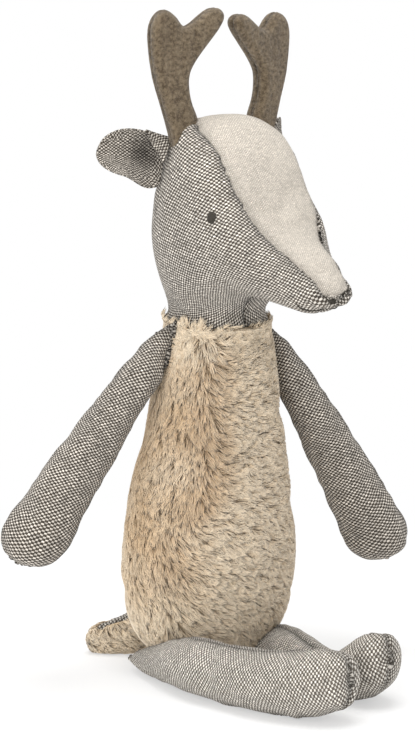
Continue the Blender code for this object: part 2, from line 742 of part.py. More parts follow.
def tail_form(torso):
    """The tail, from its root on the back to its tip on the surface."""
    spot = torso.point(TAIL_PLACE_SHARE, TAIL_ANGLE)
    rows = np.array(TAIL_SHARES)
    hinge_height = rows[:, 2].max() * TAIL_HEIGHT
    start = spot[1] + TAIL_ROOT_EDGE + CLEARANCE * 3
    outward = start + rows[:, 0] * TAIL_LENGTH
    middle = spot[0] - rows[:, 4] * TAIL_BEND
    zero = np.zeros(len(rows))
    top = np.stack([middle, outward, rows[:, 2] * TAIL_HEIGHT], 1)
    under = np.stack([middle, outward, rows[:, 1] * TAIL_HEIGHT - FLOOR_FLAT], 1)
    side = np.stack([rows[:, 3] * TAIL_HALF_WIDTH, zero, zero], 1)
    form = Form(top, under, side, cap=TAIL_CAP, power=2.2, edge=TAIL_ROOT_EDGE)
    return form, np.array((spot[0], start, hinge_height))


def build_tail(torso, torso_cutter, floor):
    """Woven top, furry underside and filling of the tail."""
    form, pivot = tail_form(torso)
    places = form.shares(7)
    stuffed = [place for place in places if place > 2 * UNSTUFFED_SHARE]
    made = [
        sew_panel("tail_top_panel", form, places, fixed(-90.0), fixed(90.0),
                  LIMB_COLUMNS, finishes["tweed"], pivot),
        sew_panel("tail_under_panel", form, places, fixed(90.0), fixed(270.0),
                  LIMB_COLUMNS, finishes["fur"], pivot),
        stuff("tail_filling", form, stuffed, evenly(2 * LIMB_COLUMNS), finishes["filling"], pivot),
    ]
    for thing in made:
        cut(thing, torso_cutter)
        cut(thing, floor)


def floor_cutter():
    """A block below the surface that presses the toy's underside flat."""
    work = bmesh.new()
    bmesh.ops.create_cube(work, size=1.0)
    span = 4 * LEG_LENGTH
    bmesh.ops.scale(work, vec=(span, span, OVERRUN), verts=work.verts)
    bmesh.ops.translate(work, vec=(0.0, 0.0, -OVERRUN / 2), verts=work.verts)
    mesh = bpy.data.meshes.new("surface_cutter")
    work.to_mesh(mesh)
    work.free()
    cutter = bpy.data.objects.new("surface_cutter", mesh)
    cutter.hide_render = True
    cutter.display_type = "WIRE"
    cutters.objects.link(cutter)
    return cutter


def build_deer():
    torso, head = torso_form(), head_form()
    neck = torso.row(1.0)[0] + np.array((0.0, 0.0, CLEARANCE / 2))
    torso_cutter = clearance_form("torso_clearance", torso, torso.shares(13), evenly(2 * TORSO_COLUMNS))
    head_cutter = clearance_form("head_clearance", head, head.shares(13), head_corners)
    floor = floor_cutter()
    build_torso(torso)
    build_head(head, neck)
    build_face(head, neck)
    for name, hand in (("left", 1), ("right", -1)):
        build_ear(head, name + "_ear", hand)
        build_antler(name, hand, neck, head_cutter)
        build_leg(name, hand, torso_cutter, floor)
        build_arm(torso, name, hand)
    build_tail(torso, torso_cutter, floor)


clear_scene()
bpy.context.scene.collection.children.link(parts)
bpy.context.scene.collection.children.link(cutters)
finishes = {
    "tweed": finish("tweed", (0.30, 0.26, 0.21), 0.92),
    "linen": finish("linen", (0.73, 0.66, 0.57), 0.90),
    "fur": finish("fur", (0.58, 0.46, 0.30), 0.95),
    "felt": finish("felt", (0.12, 0.09, 0.05), 0.95),
    "thread": finish("thread", (0.045, 0.036, 0.028), 0.60),
    "filling": finish("filling", (0.80, 0.80, 0.78), 0.95),
    "lining": finish("lining", (0.60, 0.57, 0.52), 0.90),
}
build_deer()
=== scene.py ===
# %% [markdown]
# # A plush deer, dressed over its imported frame
#
# The frame is the engineering model: every sewn panel and stuffing as a plain solid.
# This file gives the toy its looks. It loads the frame, lights it, and then replaces
# each plain solid with cloth, pile, felt or thread that lies in the same place.

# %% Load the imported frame
import bmesh
import bpy
import math
import numpy as np
from contextlib import contextmanager
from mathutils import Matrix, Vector, noise
from mathutils.bvhtree import BVHTree
from mathutils.kdtree import KDTree


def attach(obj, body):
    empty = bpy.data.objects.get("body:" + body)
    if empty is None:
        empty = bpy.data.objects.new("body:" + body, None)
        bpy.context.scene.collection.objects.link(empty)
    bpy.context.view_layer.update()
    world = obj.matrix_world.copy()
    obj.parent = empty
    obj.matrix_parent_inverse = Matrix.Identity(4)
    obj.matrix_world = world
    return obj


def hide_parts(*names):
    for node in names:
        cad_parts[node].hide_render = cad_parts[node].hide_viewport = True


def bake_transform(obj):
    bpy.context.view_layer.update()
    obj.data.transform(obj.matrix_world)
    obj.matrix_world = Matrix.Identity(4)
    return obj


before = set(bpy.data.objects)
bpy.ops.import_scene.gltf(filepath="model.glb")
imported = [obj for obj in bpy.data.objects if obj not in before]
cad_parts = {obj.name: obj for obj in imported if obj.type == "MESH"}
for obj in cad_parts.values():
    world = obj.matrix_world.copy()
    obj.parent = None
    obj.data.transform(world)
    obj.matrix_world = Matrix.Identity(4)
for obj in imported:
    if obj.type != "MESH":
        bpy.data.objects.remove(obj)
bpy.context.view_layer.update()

# %% [markdown]
# ## Camera
#
# The photograph was taken from the deer's right, a little above its chest. A long lens
# keeps the far arm nearly as large as the near one. The lens is found from the picture's
# height in pixels and a focal length in the same pixels.

# %% Camera at the photograph's view
PHOTO_HEIGHT, FOCAL_PIXELS = 731, 2854.0
VIEW_TURN = math.radians(-38.0)
VIEW_DISTANCE, VIEW_HEIGHT, AIM_HEIGHT = 1.35, 0.394, 0.148
camera_data = bpy.data.cameras.new("photo_camera")
camera = bpy.data.objects.new("photo_camera", camera_data)
bpy.context.scene.collection.objects.link(camera)
camera.location = (VIEW_DISTANCE * math.sin(VIEW_TURN), -VIEW_DISTANCE * math.cos(VIEW_TURN), VIEW_HEIGHT)
look_at = Vector((0.0, 0.0, AIM_HEIGHT))
camera.rotation_euler = (look_at - camera.location).to_track_quat("-Z", "Y").to_euler()
camera_data.sensor_fit = "VERTICAL"
camera_data.angle = 2 * math.atan(PHOTO_HEIGHT / 2 / FOCAL_PIXELS)
bpy.context.scene.camera = camera
bpy.context.scene.view_settings.view_transform = "Standard"
print("lens angle:", round(math.degrees(camera_data.angle), 2), "degrees")

# %% [markdown]
# ## Floor and light
#
# Such photographs are lit by large soft boxes, so the cloth shows its weave without hard
# shadows. Four area lamps do the same, and a pale world fills the rest. The background
# is a white that only the camera and clean reflections see.

# %% Short names for shader nodes
def fill_in(tree, socket, value):
    """Give an input a number, a colour or another node's socket; None leaves it."""
    if isinstance(value, (int, float, tuple)):
        socket.default_value = value
    elif value is not None:
        tree.links.new(value, socket)


def add_node(tree, kind, *values, **settings):
    """A node with its settings and the values of its first inputs."""
    node = tree.nodes.new("ShaderNode" + kind)
    for key, value in settings.items():
        setattr(node, key, value)
    for socket, value in zip(node.inputs, values):
        fill_in(tree, socket, value)
    return node


def add_math(tree, operation, first, second=None, clamp=False):
    """One sum of numbers or sockets."""
    return add_node(tree, "Math", first, second, operation=operation, use_clamp=clamp).outputs[0]


def new_material(name):
    """A material with its nodes on, and its Principled shader."""
    material = bpy.data.materials.new(name)
    material.use_nodes = True
    return material, material.node_tree.nodes["Principled BSDF"]


# %% White for the camera, soft grey for the light
def white_for_camera(tree, shaded, share=1.0):
    """Mix a shader with plain white, by a share, where the camera looks straight at it."""
    path = add_node(tree, "LightPath")
    glow = add_node(tree, "Emission", (1.0, 1.0, 1.0, 1.0))
    seen = add_math(tree, "MAXIMUM", path.outputs["Is Camera Ray"], path.outputs["Is Glossy Ray"])
    part = add_math(tree, "MULTIPLY", seen, share)
    return add_node(tree, "MixShader", part, shaded, glow.outputs[0]).outputs[0]


world = bpy.data.worlds.new("studio_world")
world.use_nodes = True
bpy.context.scene.world = world
sky = world.node_tree.nodes["Background"]
sky.inputs["Color"].default_value = (1.0, 0.995, 0.985, 1.0)
sky.inputs["Strength"].default_value = 0.62
world_end = world.node_tree.nodes["World Output"]
world.node_tree.links.new(white_for_camera(world.node_tree, sky.outputs[0]), world_end.inputs[0])
print("world strength:", round(sky.inputs["Strength"].default_value, 2))

# %% Floor that fades to white away from the toy
FLOOR_DROP = 0.0002
FADE_START, FADE_END, FADE_LEAST = 0.10, 0.34, 0.50
bpy.ops.object.select_all(action="DESELECT")
bpy.ops.mesh.primitive_plane_add(size=6.0, location=(0.0, 0.0, -FLOOR_DROP))
floor = bpy.context.object
floor.name = "studio_floor"
floor_material, floor_shader = new_material("studio_floor_paint")
floor_shader.inputs["Base Color"].default_value = (0.90, 0.90, 0.90, 1.0)
floor_shader.inputs["Roughness"].default_value = 0.9
floor_tree = floor_material.node_tree
floor_place = add_node(floor_tree, "TexCoord").outputs["Object"]
floor_away = add_node(floor_tree, "VectorMath", floor_place, operation="LENGTH").outputs["Value"]
floor_fade = add_node(floor_tree, "MapRange", floor_away, FADE_START, FADE_END, FADE_LEAST, 1.0,
                      interpolation_type="SMOOTHSTEP").outputs[0]
floor_tree.links.new(white_for_camera(floor_tree, floor_shader.outputs[0], floor_fade),
                     floor_tree.nodes["Material Output"].inputs["Surface"])
floor.data.materials.append(floor_material)
print("floor fades over", FADE_START, "to", FADE_END, "m")


# %% Area lamps
def area_lamp(name, place, size, power, colour=(1.0, 1.0, 1.0)):
    """A square soft box that faces the toy's chest."""
    data = bpy.data.lights.new(name, "AREA")
    data.shape, data.size, data.energy, data.color = "SQUARE", size, power, colour
    lamp = bpy.data.objects.new(name, data)
    bpy.context.scene.collection.objects.link(lamp)
    lamp.location = place
    lamp.rotation_euler = (Vector((0, 0, 0.15)) - lamp.location).to_track_quat("-Z", "Y").to_euler()


area_lamp("key_box", (-1.4, -0.7, 0.9), 1.0, 7.5, (1.0, 0.985, 0.96))
area_lamp("fill_box", (0.5, -1.5, 0.4), 1.1, 1.9)
area_lamp("low_box", (-1.3, -0.7, 0.14), 0.8, 6.0)
area_lamp("top_box", (-0.1, -0.1, 1.6), 1.0, 20.0)

# %% [markdown]
# ## Woven cloth
#
# The limbs, the ears and the sides of the head are a plain weave of dark warp and pale
# weft. A photograph of it could be tiled, but it would be flat and would show its edge.
# Here the weave is worked out from the cloth's own unwrapped coordinates in metres, so
# each yarn has its true width, passes over and under, and follows the curve of the toy.
# The pale face panel is the same weave in finer yarn, so one node group serves both.

# %% More short names for shader nodes
def add_mix(tree, factor, first, second, blend="MIX"):
    """A mix of two colours."""
    node = add_node(tree, "Mix", factor, data_type="RGBA", blend_type=blend)
    fill_in(tree, node.inputs[6], first)
    fill_in(tree, node.inputs[7], second)
    return node.outputs[2]


def add_noise(tree, vector, scale, detail=2.0, roughness=0.5, output="Fac"):
    """A noise texture read at a vector."""
    node = add_node(tree, "TexNoise", vector)
    node.inputs["Scale"].default_value = scale
    node.inputs["Detail"].default_value = detail
    node.inputs["Roughness"].default_value = roughness
    return node.outputs[output]


def add_vector(tree, x, y, z=0.0):
    """Three values joined to a vector."""
    return add_node(tree, "CombineXYZ", x, y, z).outputs[0]


def add_tone(tree, colour, tone):
    """A colour made lighter or darker by one value."""
    return add_mix(tree, 1.0, colour, add_vector(tree, tone, tone, tone), "MULTIPLY")


def new_group(name, inputs, outputs):
    """A shader node group with named sockets."""
    group = bpy.data.node_groups.new(name, "ShaderNodeTree")
    for socket_name, kind, value in inputs:
        socket = group.interface.new_socket(socket_name, in_out="INPUT", socket_type=kind)
        if value is not None:
            socket.default_value = value
    for socket_name, kind in outputs:
        group.interface.new_socket(socket_name, in_out="OUTPUT", socket_type=kind)
    return group, group.nodes.new("NodeGroupInput").outputs, group.nodes.new("NodeGroupOutput").inputs


# %% Where the yarns of a plain weave run
weave, weave_in, weave_out = new_group(
    "plain_weave",
    [("Cloth", "NodeSocketVector", None), ("Place", "NodeSocketVector", None),
     ("Yarns per metre", "NodeSocketFloat", 900.0),
     ("Warp", "NodeSocketColor", (0.06, 0.05, 0.04, 1.0)),
     ("Weft", "NodeSocketColor", (0.8, 0.75, 0.66, 1.0)),
     ("Unevenness", "NodeSocketFloat", 0.5)],
    [("Color", "NodeSocketColor"), ("Height", "NodeSocketFloat")],
)
YARN_SPACING, YARN_WANDER, YARN_SHAKE = (0.80, 1.14, 0.0), (2.4, 2.4, 0.0), (0.75, 0.75, 0.0)
drift = add_noise(weave, weave_in["Cloth"], 55.0, output="Color")
shake = add_noise(weave, weave_in["Cloth"], 520.0, output="Color")
count = add_node(weave, "VectorMath", weave_in["Cloth"], None, None, weave_in["Yarns per metre"],
                 operation="SCALE").outputs[0]
spacing = add_node(weave, "VectorMath", count, YARN_SPACING, operation="MULTIPLY").outputs[0]
wander = add_node(weave, "VectorMath", drift, YARN_WANDER, spacing, operation="MULTIPLY_ADD").outputs[0]
jitter = add_node(weave, "VectorMath", shake, YARN_SHAKE, wander, operation="MULTIPLY_ADD").outputs[0]
across, along, _ = add_node(weave, "SeparateXYZ", jitter).outputs
column, row = add_math(weave, "FLOOR", across), add_math(weave, "FLOOR", along)
weft_over = add_math(weave, "FLOORED_MODULO", add_math(weave, "ADD", column, row), 2.0)


def yarn_round(value, power):
    """Height across one yarn, from its number of yarns: 0 at the sides, 1 on top."""
    turn = add_math(weave, "MULTIPLY", add_math(weave, "FRACT", value), math.pi)
    return add_math(weave, "POWER", add_math(weave, "SINE", turn), power)


weft_height = add_math(weave, "MULTIPLY", yarn_round(along, 0.75), yarn_round(across, 0.40))
warp_height = add_math(weave, "MULTIPLY", yarn_round(across, 0.75), yarn_round(along, 0.40))
yarn_height = add_node(weave, "Mix", weft_over, None, warp_height, weft_height).outputs[0]
print("yarns spaced by", YARN_SPACING[:2], "of one another's width")


# %% What colour each yarn has
def slub(first, second, apart=0.0):
    """Thick and thin places along a yarn; the two values give each yarn its own."""
    return add_noise(weave, add_vector(weave, first, second, apart), 1.0, 3.0, 0.6)


def slubbed(colour, thickness):
    """A yarn's colour, lighter and darker along its length."""
    swing = add_math(weave, "MULTIPLY", add_math(weave, "SUBTRACT", thickness, 0.5), 2.6)
    value = add_math(weave, "ADD", add_math(weave, "MULTIPLY", swing, weave_in["Unevenness"]), 1.0)
    return add_tone(weave, colour, value)


weft_slub = slub(add_math(weave, "MULTIPLY", across, 0.22), add_math(weave, "MULTIPLY", row, 7.31))
warp_slub = slub(add_math(weave, "MULTIPLY", column, 5.17), add_math(weave, "MULTIPLY", along, 0.22), 3.0)
yarn_colour = add_mix(weave, weft_over, slubbed(weave_in["Warp"], warp_slub),
                      slubbed(weave_in["Weft"], weft_slub))
crossing = add_node(weave, "TexWhiteNoise", add_vector(weave, column, row)).outputs["Value"]
fall = add_math(weave, "MULTIPLY", crossing, add_math(weave, "MULTIPLY", weave_in["Unevenness"], 0.62))
uneven = add_math(weave, "SUBTRACT", 1.12, fall)
fibre = add_noise(weave, weave_in["Place"], 5200.0, 2.0, 0.6)
# Painted shade: each yarn darkens towards its sides, where it dips under its neighbours; fine fibre noise and
# each crossing's own uneven tone vary it.
depth = add_math(weave, "ADD", add_math(weave, "MULTIPLY", yarn_height, 0.62),
                 add_math(weave, "MULTIPLY", fibre, 0.62))
shade = add_math(weave, "MULTIPLY", add_math(weave, "MINIMUM", depth, 1.0), uneven)
weave.links.new(add_tone(weave, yarn_colour, shade), weave_out["Color"])
weave.links.new(yarn_height, weave_out["Height"])
print("plain_weave has", len(weave.nodes), "nodes")

# %% [markdown]
# A sewn seam lies in a groove where the cloth is drawn in, so it looks darker than the cloth
# beside it. Each cover carries a seam attribute, 1 on the stitches and 0 a few millimetres
# away, and the groove's shade is painted into the cloth by it. The three grey cloths are one
# tweed: the copy on the arms and ears is darkened with painted shade, the copy on the legs
# lightened with painted light.

# %% Woven materials
def read_attribute(tree, name):
    """A number that a mesh keeps at each point."""
    return add_node(tree, "Attribute", attribute_name=name).outputs["Fac"]


def add_bump(tree, shader, height, strength, distance):
    """Relief from a height."""
    bump = add_node(tree, "Bump")
    bump.inputs["Strength"].default_value = strength
    bump.inputs["Distance"].default_value = distance
    tree.links.new(height, bump.inputs["Height"])
    tree.links.new(bump.outputs[0], shader.inputs["Normal"])


def set_surface(shader, roughness, specular, sheen=0.0, sheen_roughness=0.5):
    """How a surface takes the light."""
    for name, value in (("Roughness", roughness), ("Specular IOR Level", specular),
                        ("Sheen Weight", sheen), ("Sheen Roughness", sheen_roughness)):
        shader.inputs[name].default_value = value


def woven_material(name, yarns, warp, weft, unevenness, relief, seam_shade):
    """Cloth of one weave, read from the piece's own unwrapped map in metres."""
    material, shader = new_material(name)
    tree = material.node_tree
    place = add_node(tree, "TexCoord").outputs
    cloth = add_node(tree, "Group", node_tree=weave)
    for socket_name, value in (("Cloth", place["UV"]), ("Place", place["Object"]), ("Yarns per metre", yarns),
                               ("Warp", (*warp, 1.0)), ("Weft", (*weft, 1.0)), ("Unevenness", unevenness)):
        fill_in(tree, cloth.inputs[socket_name], value)
    worn = add_noise(tree, place["Object"], 38.0, 3.0)
    mottle = add_math(tree, "ADD", add_math(tree, "MULTIPLY", worn, 0.30), 0.86)
    # Painted shade in the seam grooves: the cloth is darkened by the seam attribute.
    painted_seam_shade = add_math(tree, "MULTIPLY", read_attribute(tree, "seam"), seam_shade)
    tone = add_math(tree, "MULTIPLY", mottle, add_math(tree, "SUBTRACT", 1.0, painted_seam_shade))
    tree.links.new(add_tone(tree, cloth.outputs["Color"], tone), shader.inputs["Base Color"])
    add_bump(tree, shader, cloth.outputs["Height"], 0.8, relief)
    set_surface(shader, 0.92, 0.15, 0.12, 0.6)
    return material


# One tweed in three copies: the copy on the arms and ears is darkened with painted shade, and the copy on the
# legs, woven a little finer, is lightened with painted light.
tweed = woven_material("tweed_cloth", 1040.0, (0.095, 0.076, 0.056), (0.93, 0.865, 0.775),
                       unevenness=0.62, relief=0.00035, seam_shade=0.40)
shaded_tweed = woven_material("tweed_cloth_arm", 1040.0, (0.070, 0.055, 0.040), (0.78, 0.715, 0.63),
                           unevenness=0.62, relief=0.00035, seam_shade=0.40)
lit_leg_tweed = woven_material("tweed_cloth_leg", 1120.0, (0.155, 0.130, 0.102), (0.97, 0.915, 0.83),
                           unevenness=0.55, relief=0.00030, seam_shade=0.40)
linen = woven_material("linen_cloth", 1600.0, (0.63, 0.565, 0.48), (0.86, 0.79, 0.70),
                       unevenness=0.40, relief=0.00014, seam_shade=0.30)
print("cloths:", tweed.name, shaded_tweed.name, lit_leg_tweed.name, linen.name)

# %% [markdown]
# ## From a plain panel to a cloth cover
#
# A stuffed toy's shape comes from its flat panels: each is held along its seams and
# swells between them. So a cover starts from the outer faces of the frame's own panels,
# joined along their seams. It is unwrapped there, so that the weave lies as it was cut.
# Then a cloth simulation blows it up gently with the seams held fast, and the panels are
# parted again, each with the thickness of its cloth.

# %% Points of a mesh as an array
def read_points(mesh):
    """A mesh's points as an array."""
    points = np.empty(len(mesh.vertices) * 3)
    mesh.vertices.foreach_get("co", points)
    return points.reshape(-1, 3)


def write_points(mesh, points):
    """Move a mesh's points to the places in an array."""
    mesh.vertices.foreach_set("co", np.asarray(points, dtype=float).ravel())
    mesh.update()


def mark_points(mesh, name, values):
    """Keep a number at each point, which a material can read."""
    mesh.attributes.new(name, "FLOAT", "POINT").data.foreach_set("value", values)


def point_tree(spots):
    """A tree that finds the nearest of many spots."""
    tree = KDTree(len(spots))
    for index, spot in enumerate(spots):
        tree.insert(spot, index)
    tree.balance()
    return tree


# %% Objects, edits and modifiers
def add_object(name, mesh):
    """A new object in the scene."""
    thing = bpy.data.objects.new(name, mesh)
    bpy.context.scene.collection.objects.link(thing)
    return thing


def only(thing):
    """Select one object alone and make it active."""
    bpy.ops.object.select_all(action="DESELECT")
    thing.hide_set(False)
    thing.select_set(True)
    bpy.context.view_layer.objects.active = thing


@contextmanager
def edit(thing, everything=True):
    """Edit one object's mesh, with all of it selected unless told otherwise."""
    only(thing)
    bpy.ops.object.mode_set(mode="EDIT")
    if everything:
        bpy.ops.mesh.select_all(action="SELECT")
    yield
    bpy.ops.object.mode_set(mode="OBJECT")


def join_objects(things, name):
    """Several objects made one."""
    bpy.ops.object.select_all(action="DESELECT")
    for thing in things:
        thing.select_set(True)
    bpy.context.view_layer.objects.active = things[0]
    bpy.ops.object.join()
    bpy.context.object.name = name
    return bpy.context.object


def apply_modifier(thing, kind, **settings):
    """Add a modifier, set it and apply it."""
    only(thing)
    modifier = thing.modifiers.new(kind.lower(), kind)
    for key, value in settings.items():
        setattr(modifier, key, value)
    bpy.ops.object.modifier_apply(modifier=modifier.name)


def round_off(form, levels=2, passes=5):
    """Subdivide so that the smooth skin still passes through the form's own points."""
    wanted = read_points(form.data)
    control = wanted.copy()
    modifier = form.modifiers.new("round", "SUBSURF")
    modifier.levels = modifier.render_levels = levels
    for _ in range(passes):
        bpy.context.view_layer.update()
        skin = form.evaluated_get(bpy.context.evaluated_depsgraph_get()).data
        control += 0.9 * (wanted - read_points(skin)[:len(wanted)])
        write_points(form.data, control)
    only(form)
    bpy.ops.object.modifier_apply(modifier=modifier.name)


# %% The outer faces of a frame panel
WELD_REACH = 0.00001
SHARP = math.radians(50.0)


def frame_copy(node_name, name):
    """A copy of a frame solid's mesh, without its materials."""
    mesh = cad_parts[node_name].data.copy()
    mesh.materials.clear()
    return add_object(name, mesh)


def weld():
    """Make whole quads of a solid's loose triangles, in edit mode."""
    bpy.ops.mesh.remove_doubles(threshold=WELD_REACH)
    bpy.ops.mesh.tris_convert_to_quads(face_threshold=0.7, shape_threshold=0.9)
    bpy.ops.mesh.select_all(action="DESELECT")


def outer_sheet(node_name):
    """A copy of a panel that keeps the smooth sheet that holds its largest face."""
    sheet = frame_copy(node_name, node_name + "_sheet")
    with edit(sheet):
        weld()
    largest = max(sheet.data.polygons, key=lambda face: face.area)
    largest.select = True
    sheet.data.polygons.active = largest.index
    with edit(sheet, everything=False):
        bpy.ops.mesh.select_mode(type="FACE")
        bpy.ops.mesh.faces_select_linked_flat(sharpness=SHARP)
        bpy.ops.mesh.select_all(action="INVERT")
        bpy.ops.mesh.delete(type="FACE")
    return sheet


# %% Join panels along their seams
SEAM_REACH = 0.0007
OPENING_SIZE, OPENING_AREA = 0.05, 0.00003


def join_panels(name, node_names):
    """One form from several panels, with a marker material each and hidden openings filled."""
    sheets = []
    for node_name in node_names:
        sheet = outer_sheet(node_name)
        sheet.data.materials.append(bpy.data.materials.new(node_name + "_mark"))
        sheets.append(sheet)
    form = join_objects(sheets, name)
    form.data.materials.append(bpy.data.materials.new(name + "_hidden"))
    with edit(form):
        bpy.ops.mesh.remove_doubles(threshold=SEAM_REACH)
    work = bmesh.new()
    work.from_mesh(form.data)
    first = len(work.faces)
    bmesh.ops.holes_fill(work, edges=[edge for edge in work.edges if edge.is_boundary], sides=0)
    work.faces.ensure_lookup_table()
    for face in work.faces[first:]:
        large = face.calc_perimeter() > OPENING_SIZE and face.calc_area() > OPENING_AREA
        beside = [other for edge in face.edges for other in edge.link_faces if other is not face]
        face.material_index = len(node_names) if large else beside[0].material_index
    bmesh.ops.recalc_face_normals(work, faces=work.faces)
    crease = work.edges.layers.float.new("crease_edge")
    for edge in work.edges:
        kinds = {face.material_index for face in edge.link_faces}
        edge.seam = len(kinds) > 1
        edge[crease] = 1.0 if edge.seam and len(node_names) in kinds else 0.0
        edge.smooth = True
    for face in work.faces:
        face.smooth = True
    open_edges = sum(1 for edge in work.edges if not edge.is_manifold)
    print(name, "faces", len(work.faces), "open edges", open_edges,
          "volume ml", round(work.calc_volume() * 1e6, 1))
    work.to_mesh(form.data)
    work.free()
    return form


# %% Unwrap each panel to its cut size
PANELS_APART = 0.05


def unwrap_panels(form, grains):
    """Unwrap in metres, with each panel's threads turned along its grain."""
    with edit(form):
        bpy.ops.uv.unwrap(method="ANGLE_BASED", margin=0.0)
    mesh = form.data
    layer = mesh.uv_layers.active.data
    points = read_points(mesh)
    for index, grain in enumerate(grains):
        loops, sizes, flats = [], 0.0, 0.0
        for face in mesh.polygons:
            if face.material_index != index:
                continue
            corners = np.array([layer[loop].uv for loop in face.loop_indices])
            after = np.roll(corners, -1, 0)
            flats += abs(np.sum(corners[:, 0] * after[:, 1] - corners[:, 1] * after[:, 0])) / 2
            sizes += face.area
            loops += list(face.loop_indices)
        spots = np.array([layer[loop].uv for loop in loops])
        along_grain = points[[mesh.loops[loop].vertex_index for loop in loops]] @ np.array(grain)
        fit = np.linalg.lstsq(np.c_[spots, np.ones(len(spots))], along_grain, rcond=None)[0][:2]
        up = fit / np.linalg.norm(fit)
        turn = np.array([[up[1], -up[0]], [up[0], up[1]]])
        placed = (spots - spots.mean(0)) @ turn.T * math.sqrt(sizes / flats)
        for loop, spot in zip(loops, placed + PANELS_APART * index):
            layer[loop].uv = spot


# %% Blow the cover up with its seams held
def panels_at_points(form):
    """For each point, the panels whose faces meet there."""
    kinds = [set() for _ in form.data.vertices]
    for face in form.data.polygons:
        for corner in face.vertices:
            kinds[corner].add(face.material_index)
    return kinds


def seam_points(form, hidden_index):
    """Which points lie on a seam, and which on a hidden face."""
    kinds = panels_at_points(form)
    return np.array([len(kind) > 1 for kind in kinds]), np.array([hidden_index in kind for kind in kinds])


def blow_up(form, held, pressure, slack, most, frames=14):
    """Cloth under pressure for a few frames; no point moves more than the most."""
    start = read_points(form.data)
    group = form.vertex_groups.new(name="held")
    group.add([int(i) for i in np.flatnonzero(held)], 1.0, "REPLACE")
    only(form)
    cloth = form.modifiers.new("cloth", "CLOTH")
    settings = cloth.settings
    settings.quality, settings.mass = 5, 0.05
    settings.tension_stiffness = settings.compression_stiffness = 12.0
    settings.shear_stiffness, settings.bending_stiffness = 6.0, 0.15
    settings.vertex_group_mass = "held"
    settings.use_pressure, settings.uniform_pressure_force = True, pressure
    settings.shrink_min = -slack
    settings.effector_weights.gravity = 0.0
    cloth.collision_settings.use_collision = False
    scene = bpy.context.scene
    for step in range(1, frames + 1):
        scene.frame_set(step)
    bpy.ops.object.modifier_apply(modifier=cloth.name)
    scene.frame_set(1)
    moved = read_points(form.data) - start
    length = np.maximum(np.linalg.norm(moved, axis=1), 1e-9)
    moved *= np.minimum(1.0, most / length)[:, None]
    print(form.name, "moved in mm: mean", round(1000 * float(np.linalg.norm(moved, axis=1).mean()), 2),
          "free", round(1000 * float(length.max()), 2))
    write_points(form.data, start + moved)


# %% Seam grooves and gathers
GROOVE_DEPTH, GROOVE_HALF = 0.0006, 0.0011
GATHER_HEIGHT, GATHER_LENGTH, GATHER_START, GATHER_END = 0.0004, 0.0042, 0.0010, 0.0045
SEAM_SHADOW = 0.0028
FLOOR_EASE = 0.008


def draw_in_seams(form, hidden_index, room):
    """Sink the stitches, raise small gathers beside them and mark a painted shade that fades away from them.
    """
    seam, hidden = seam_points(form, hidden_index)
    points = read_points(form.data)
    seams = points[seam & ~hidden] if (seam & ~hidden).any() else points[seam]
    tree = point_tree(seams)
    found = [tree.find(point) for point in points]
    far = np.array([distance for _, _, distance in found])
    normals = np.array([vertex.normal for vertex in form.data.vertices])
    ripple = np.array([noise.noise(Vector(np.array(spot) / GATHER_LENGTH)) for spot, _, _ in found])
    ridge = GATHER_HEIGHT * ripple * np.exp(-far / GATHER_END) * (1 - np.exp(-far / GATHER_START))
    sunk = GROOVE_DEPTH * np.exp(-(far / GROOVE_HALF) ** 2)
    points += normals * (ridge - sunk)[:, None]
    lift = np.clip(points[:, 2] / FLOOR_EASE, 0.0, 1.0)
    points -= normals * (1.0, 1.0, 0.0) * (room * lift)[:, None]
    points[:, 2] = np.maximum(points[:, 2], 0.0)
    write_points(form.data, points)
    # The seam attribute carries a painted shade, strongest on the stitches.
    mark_points(form.data, "seam", np.exp(-(far / SEAM_SHADOW) ** 2))


# %% Part the panels again
CLOTH_THICKNESS = 0.0008
skins = {}


def note_skin(name, mesh):
    """Keep a cloth's outer face for what lies on it later."""
    mesh.calc_loop_triangles()
    triangles = np.array([triangle.vertices for triangle in mesh.loop_triangles])
    skins[name] = {"points": read_points(mesh), "triangles": triangles}


def part_panels(form, panels):
    """Part the joined form into its panels and give each the thickness of its cloth."""
    marks = {panel["node"] + "_mark": panel for panel in panels}
    with edit(form):
        bpy.ops.mesh.separate(type="MATERIAL")
    pieces = {}
    for piece in list(bpy.context.selected_objects):
        index = piece.data.polygons[0].material_index
        panel = marks.get(piece.data.materials[index].name)
        if panel is None:
            bpy.data.objects.remove(piece)
            continue
        piece.name = piece.data.name = panel["name"]
        piece.data.materials.clear()
        piece.data.materials.append(panel["cloth"])
        piece.data.polygons.foreach_set("material_index", np.zeros(len(piece.data.polygons), int))
        piece.vertex_groups.clear()
        note_skin(piece.name, piece.data)
        apply_modifier(piece, "SOLIDIFY", thickness=CLOTH_THICKNESS, offset=-1.0, use_quality_normals=True)
        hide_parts(*panel["replaces"])
        pieces[panel["name"]] = piece
        print(piece.name, "faces", len(piece.data.polygons))
    return pieces


# %% Sew one stuffed form
def panel(node, name, cloth, grain, slot, *more):
    """What a cover is cut from, what it is called and what it stands for."""
    return {"node": node, "name": name, "cloth": cloth, "grain": grain, "slot": slot,
            "replaces": (node, *more)}


def sew(name, panels, pressure, slack, most, hold=None, room=0.0, shape=None):
    """Join, unwrap, blow up, draw in the seams and part again."""
    form = join_panels(name, [panel["node"] for panel in panels])
    unwrap_panels(form, [panel["grain"] for panel in panels])
    round_off(form)
    if shape is not None:
        shape(form)
    seam, hidden = seam_points(form, len(panels))
    held = seam | hidden
    if hold is not None:
        held |= hold(read_points(form.data))
    blow_up(form, held, pressure, slack, most)
    apply_modifier(form, "SUBSURF", levels=1, render_levels=1)
    draw_in_seams(form, len(panels), room)
    note_skin(name, form.data)
    return part_panels(form, panels)


# %% [markdown]
# ## The arms and the legs
#
# Each limb is two panels with one seam around its edge, so it is sewn like a mitten. The
# weft runs across it. A limb is stuffed tightly towards its end and more loosely at its
# root, where it has to swing.

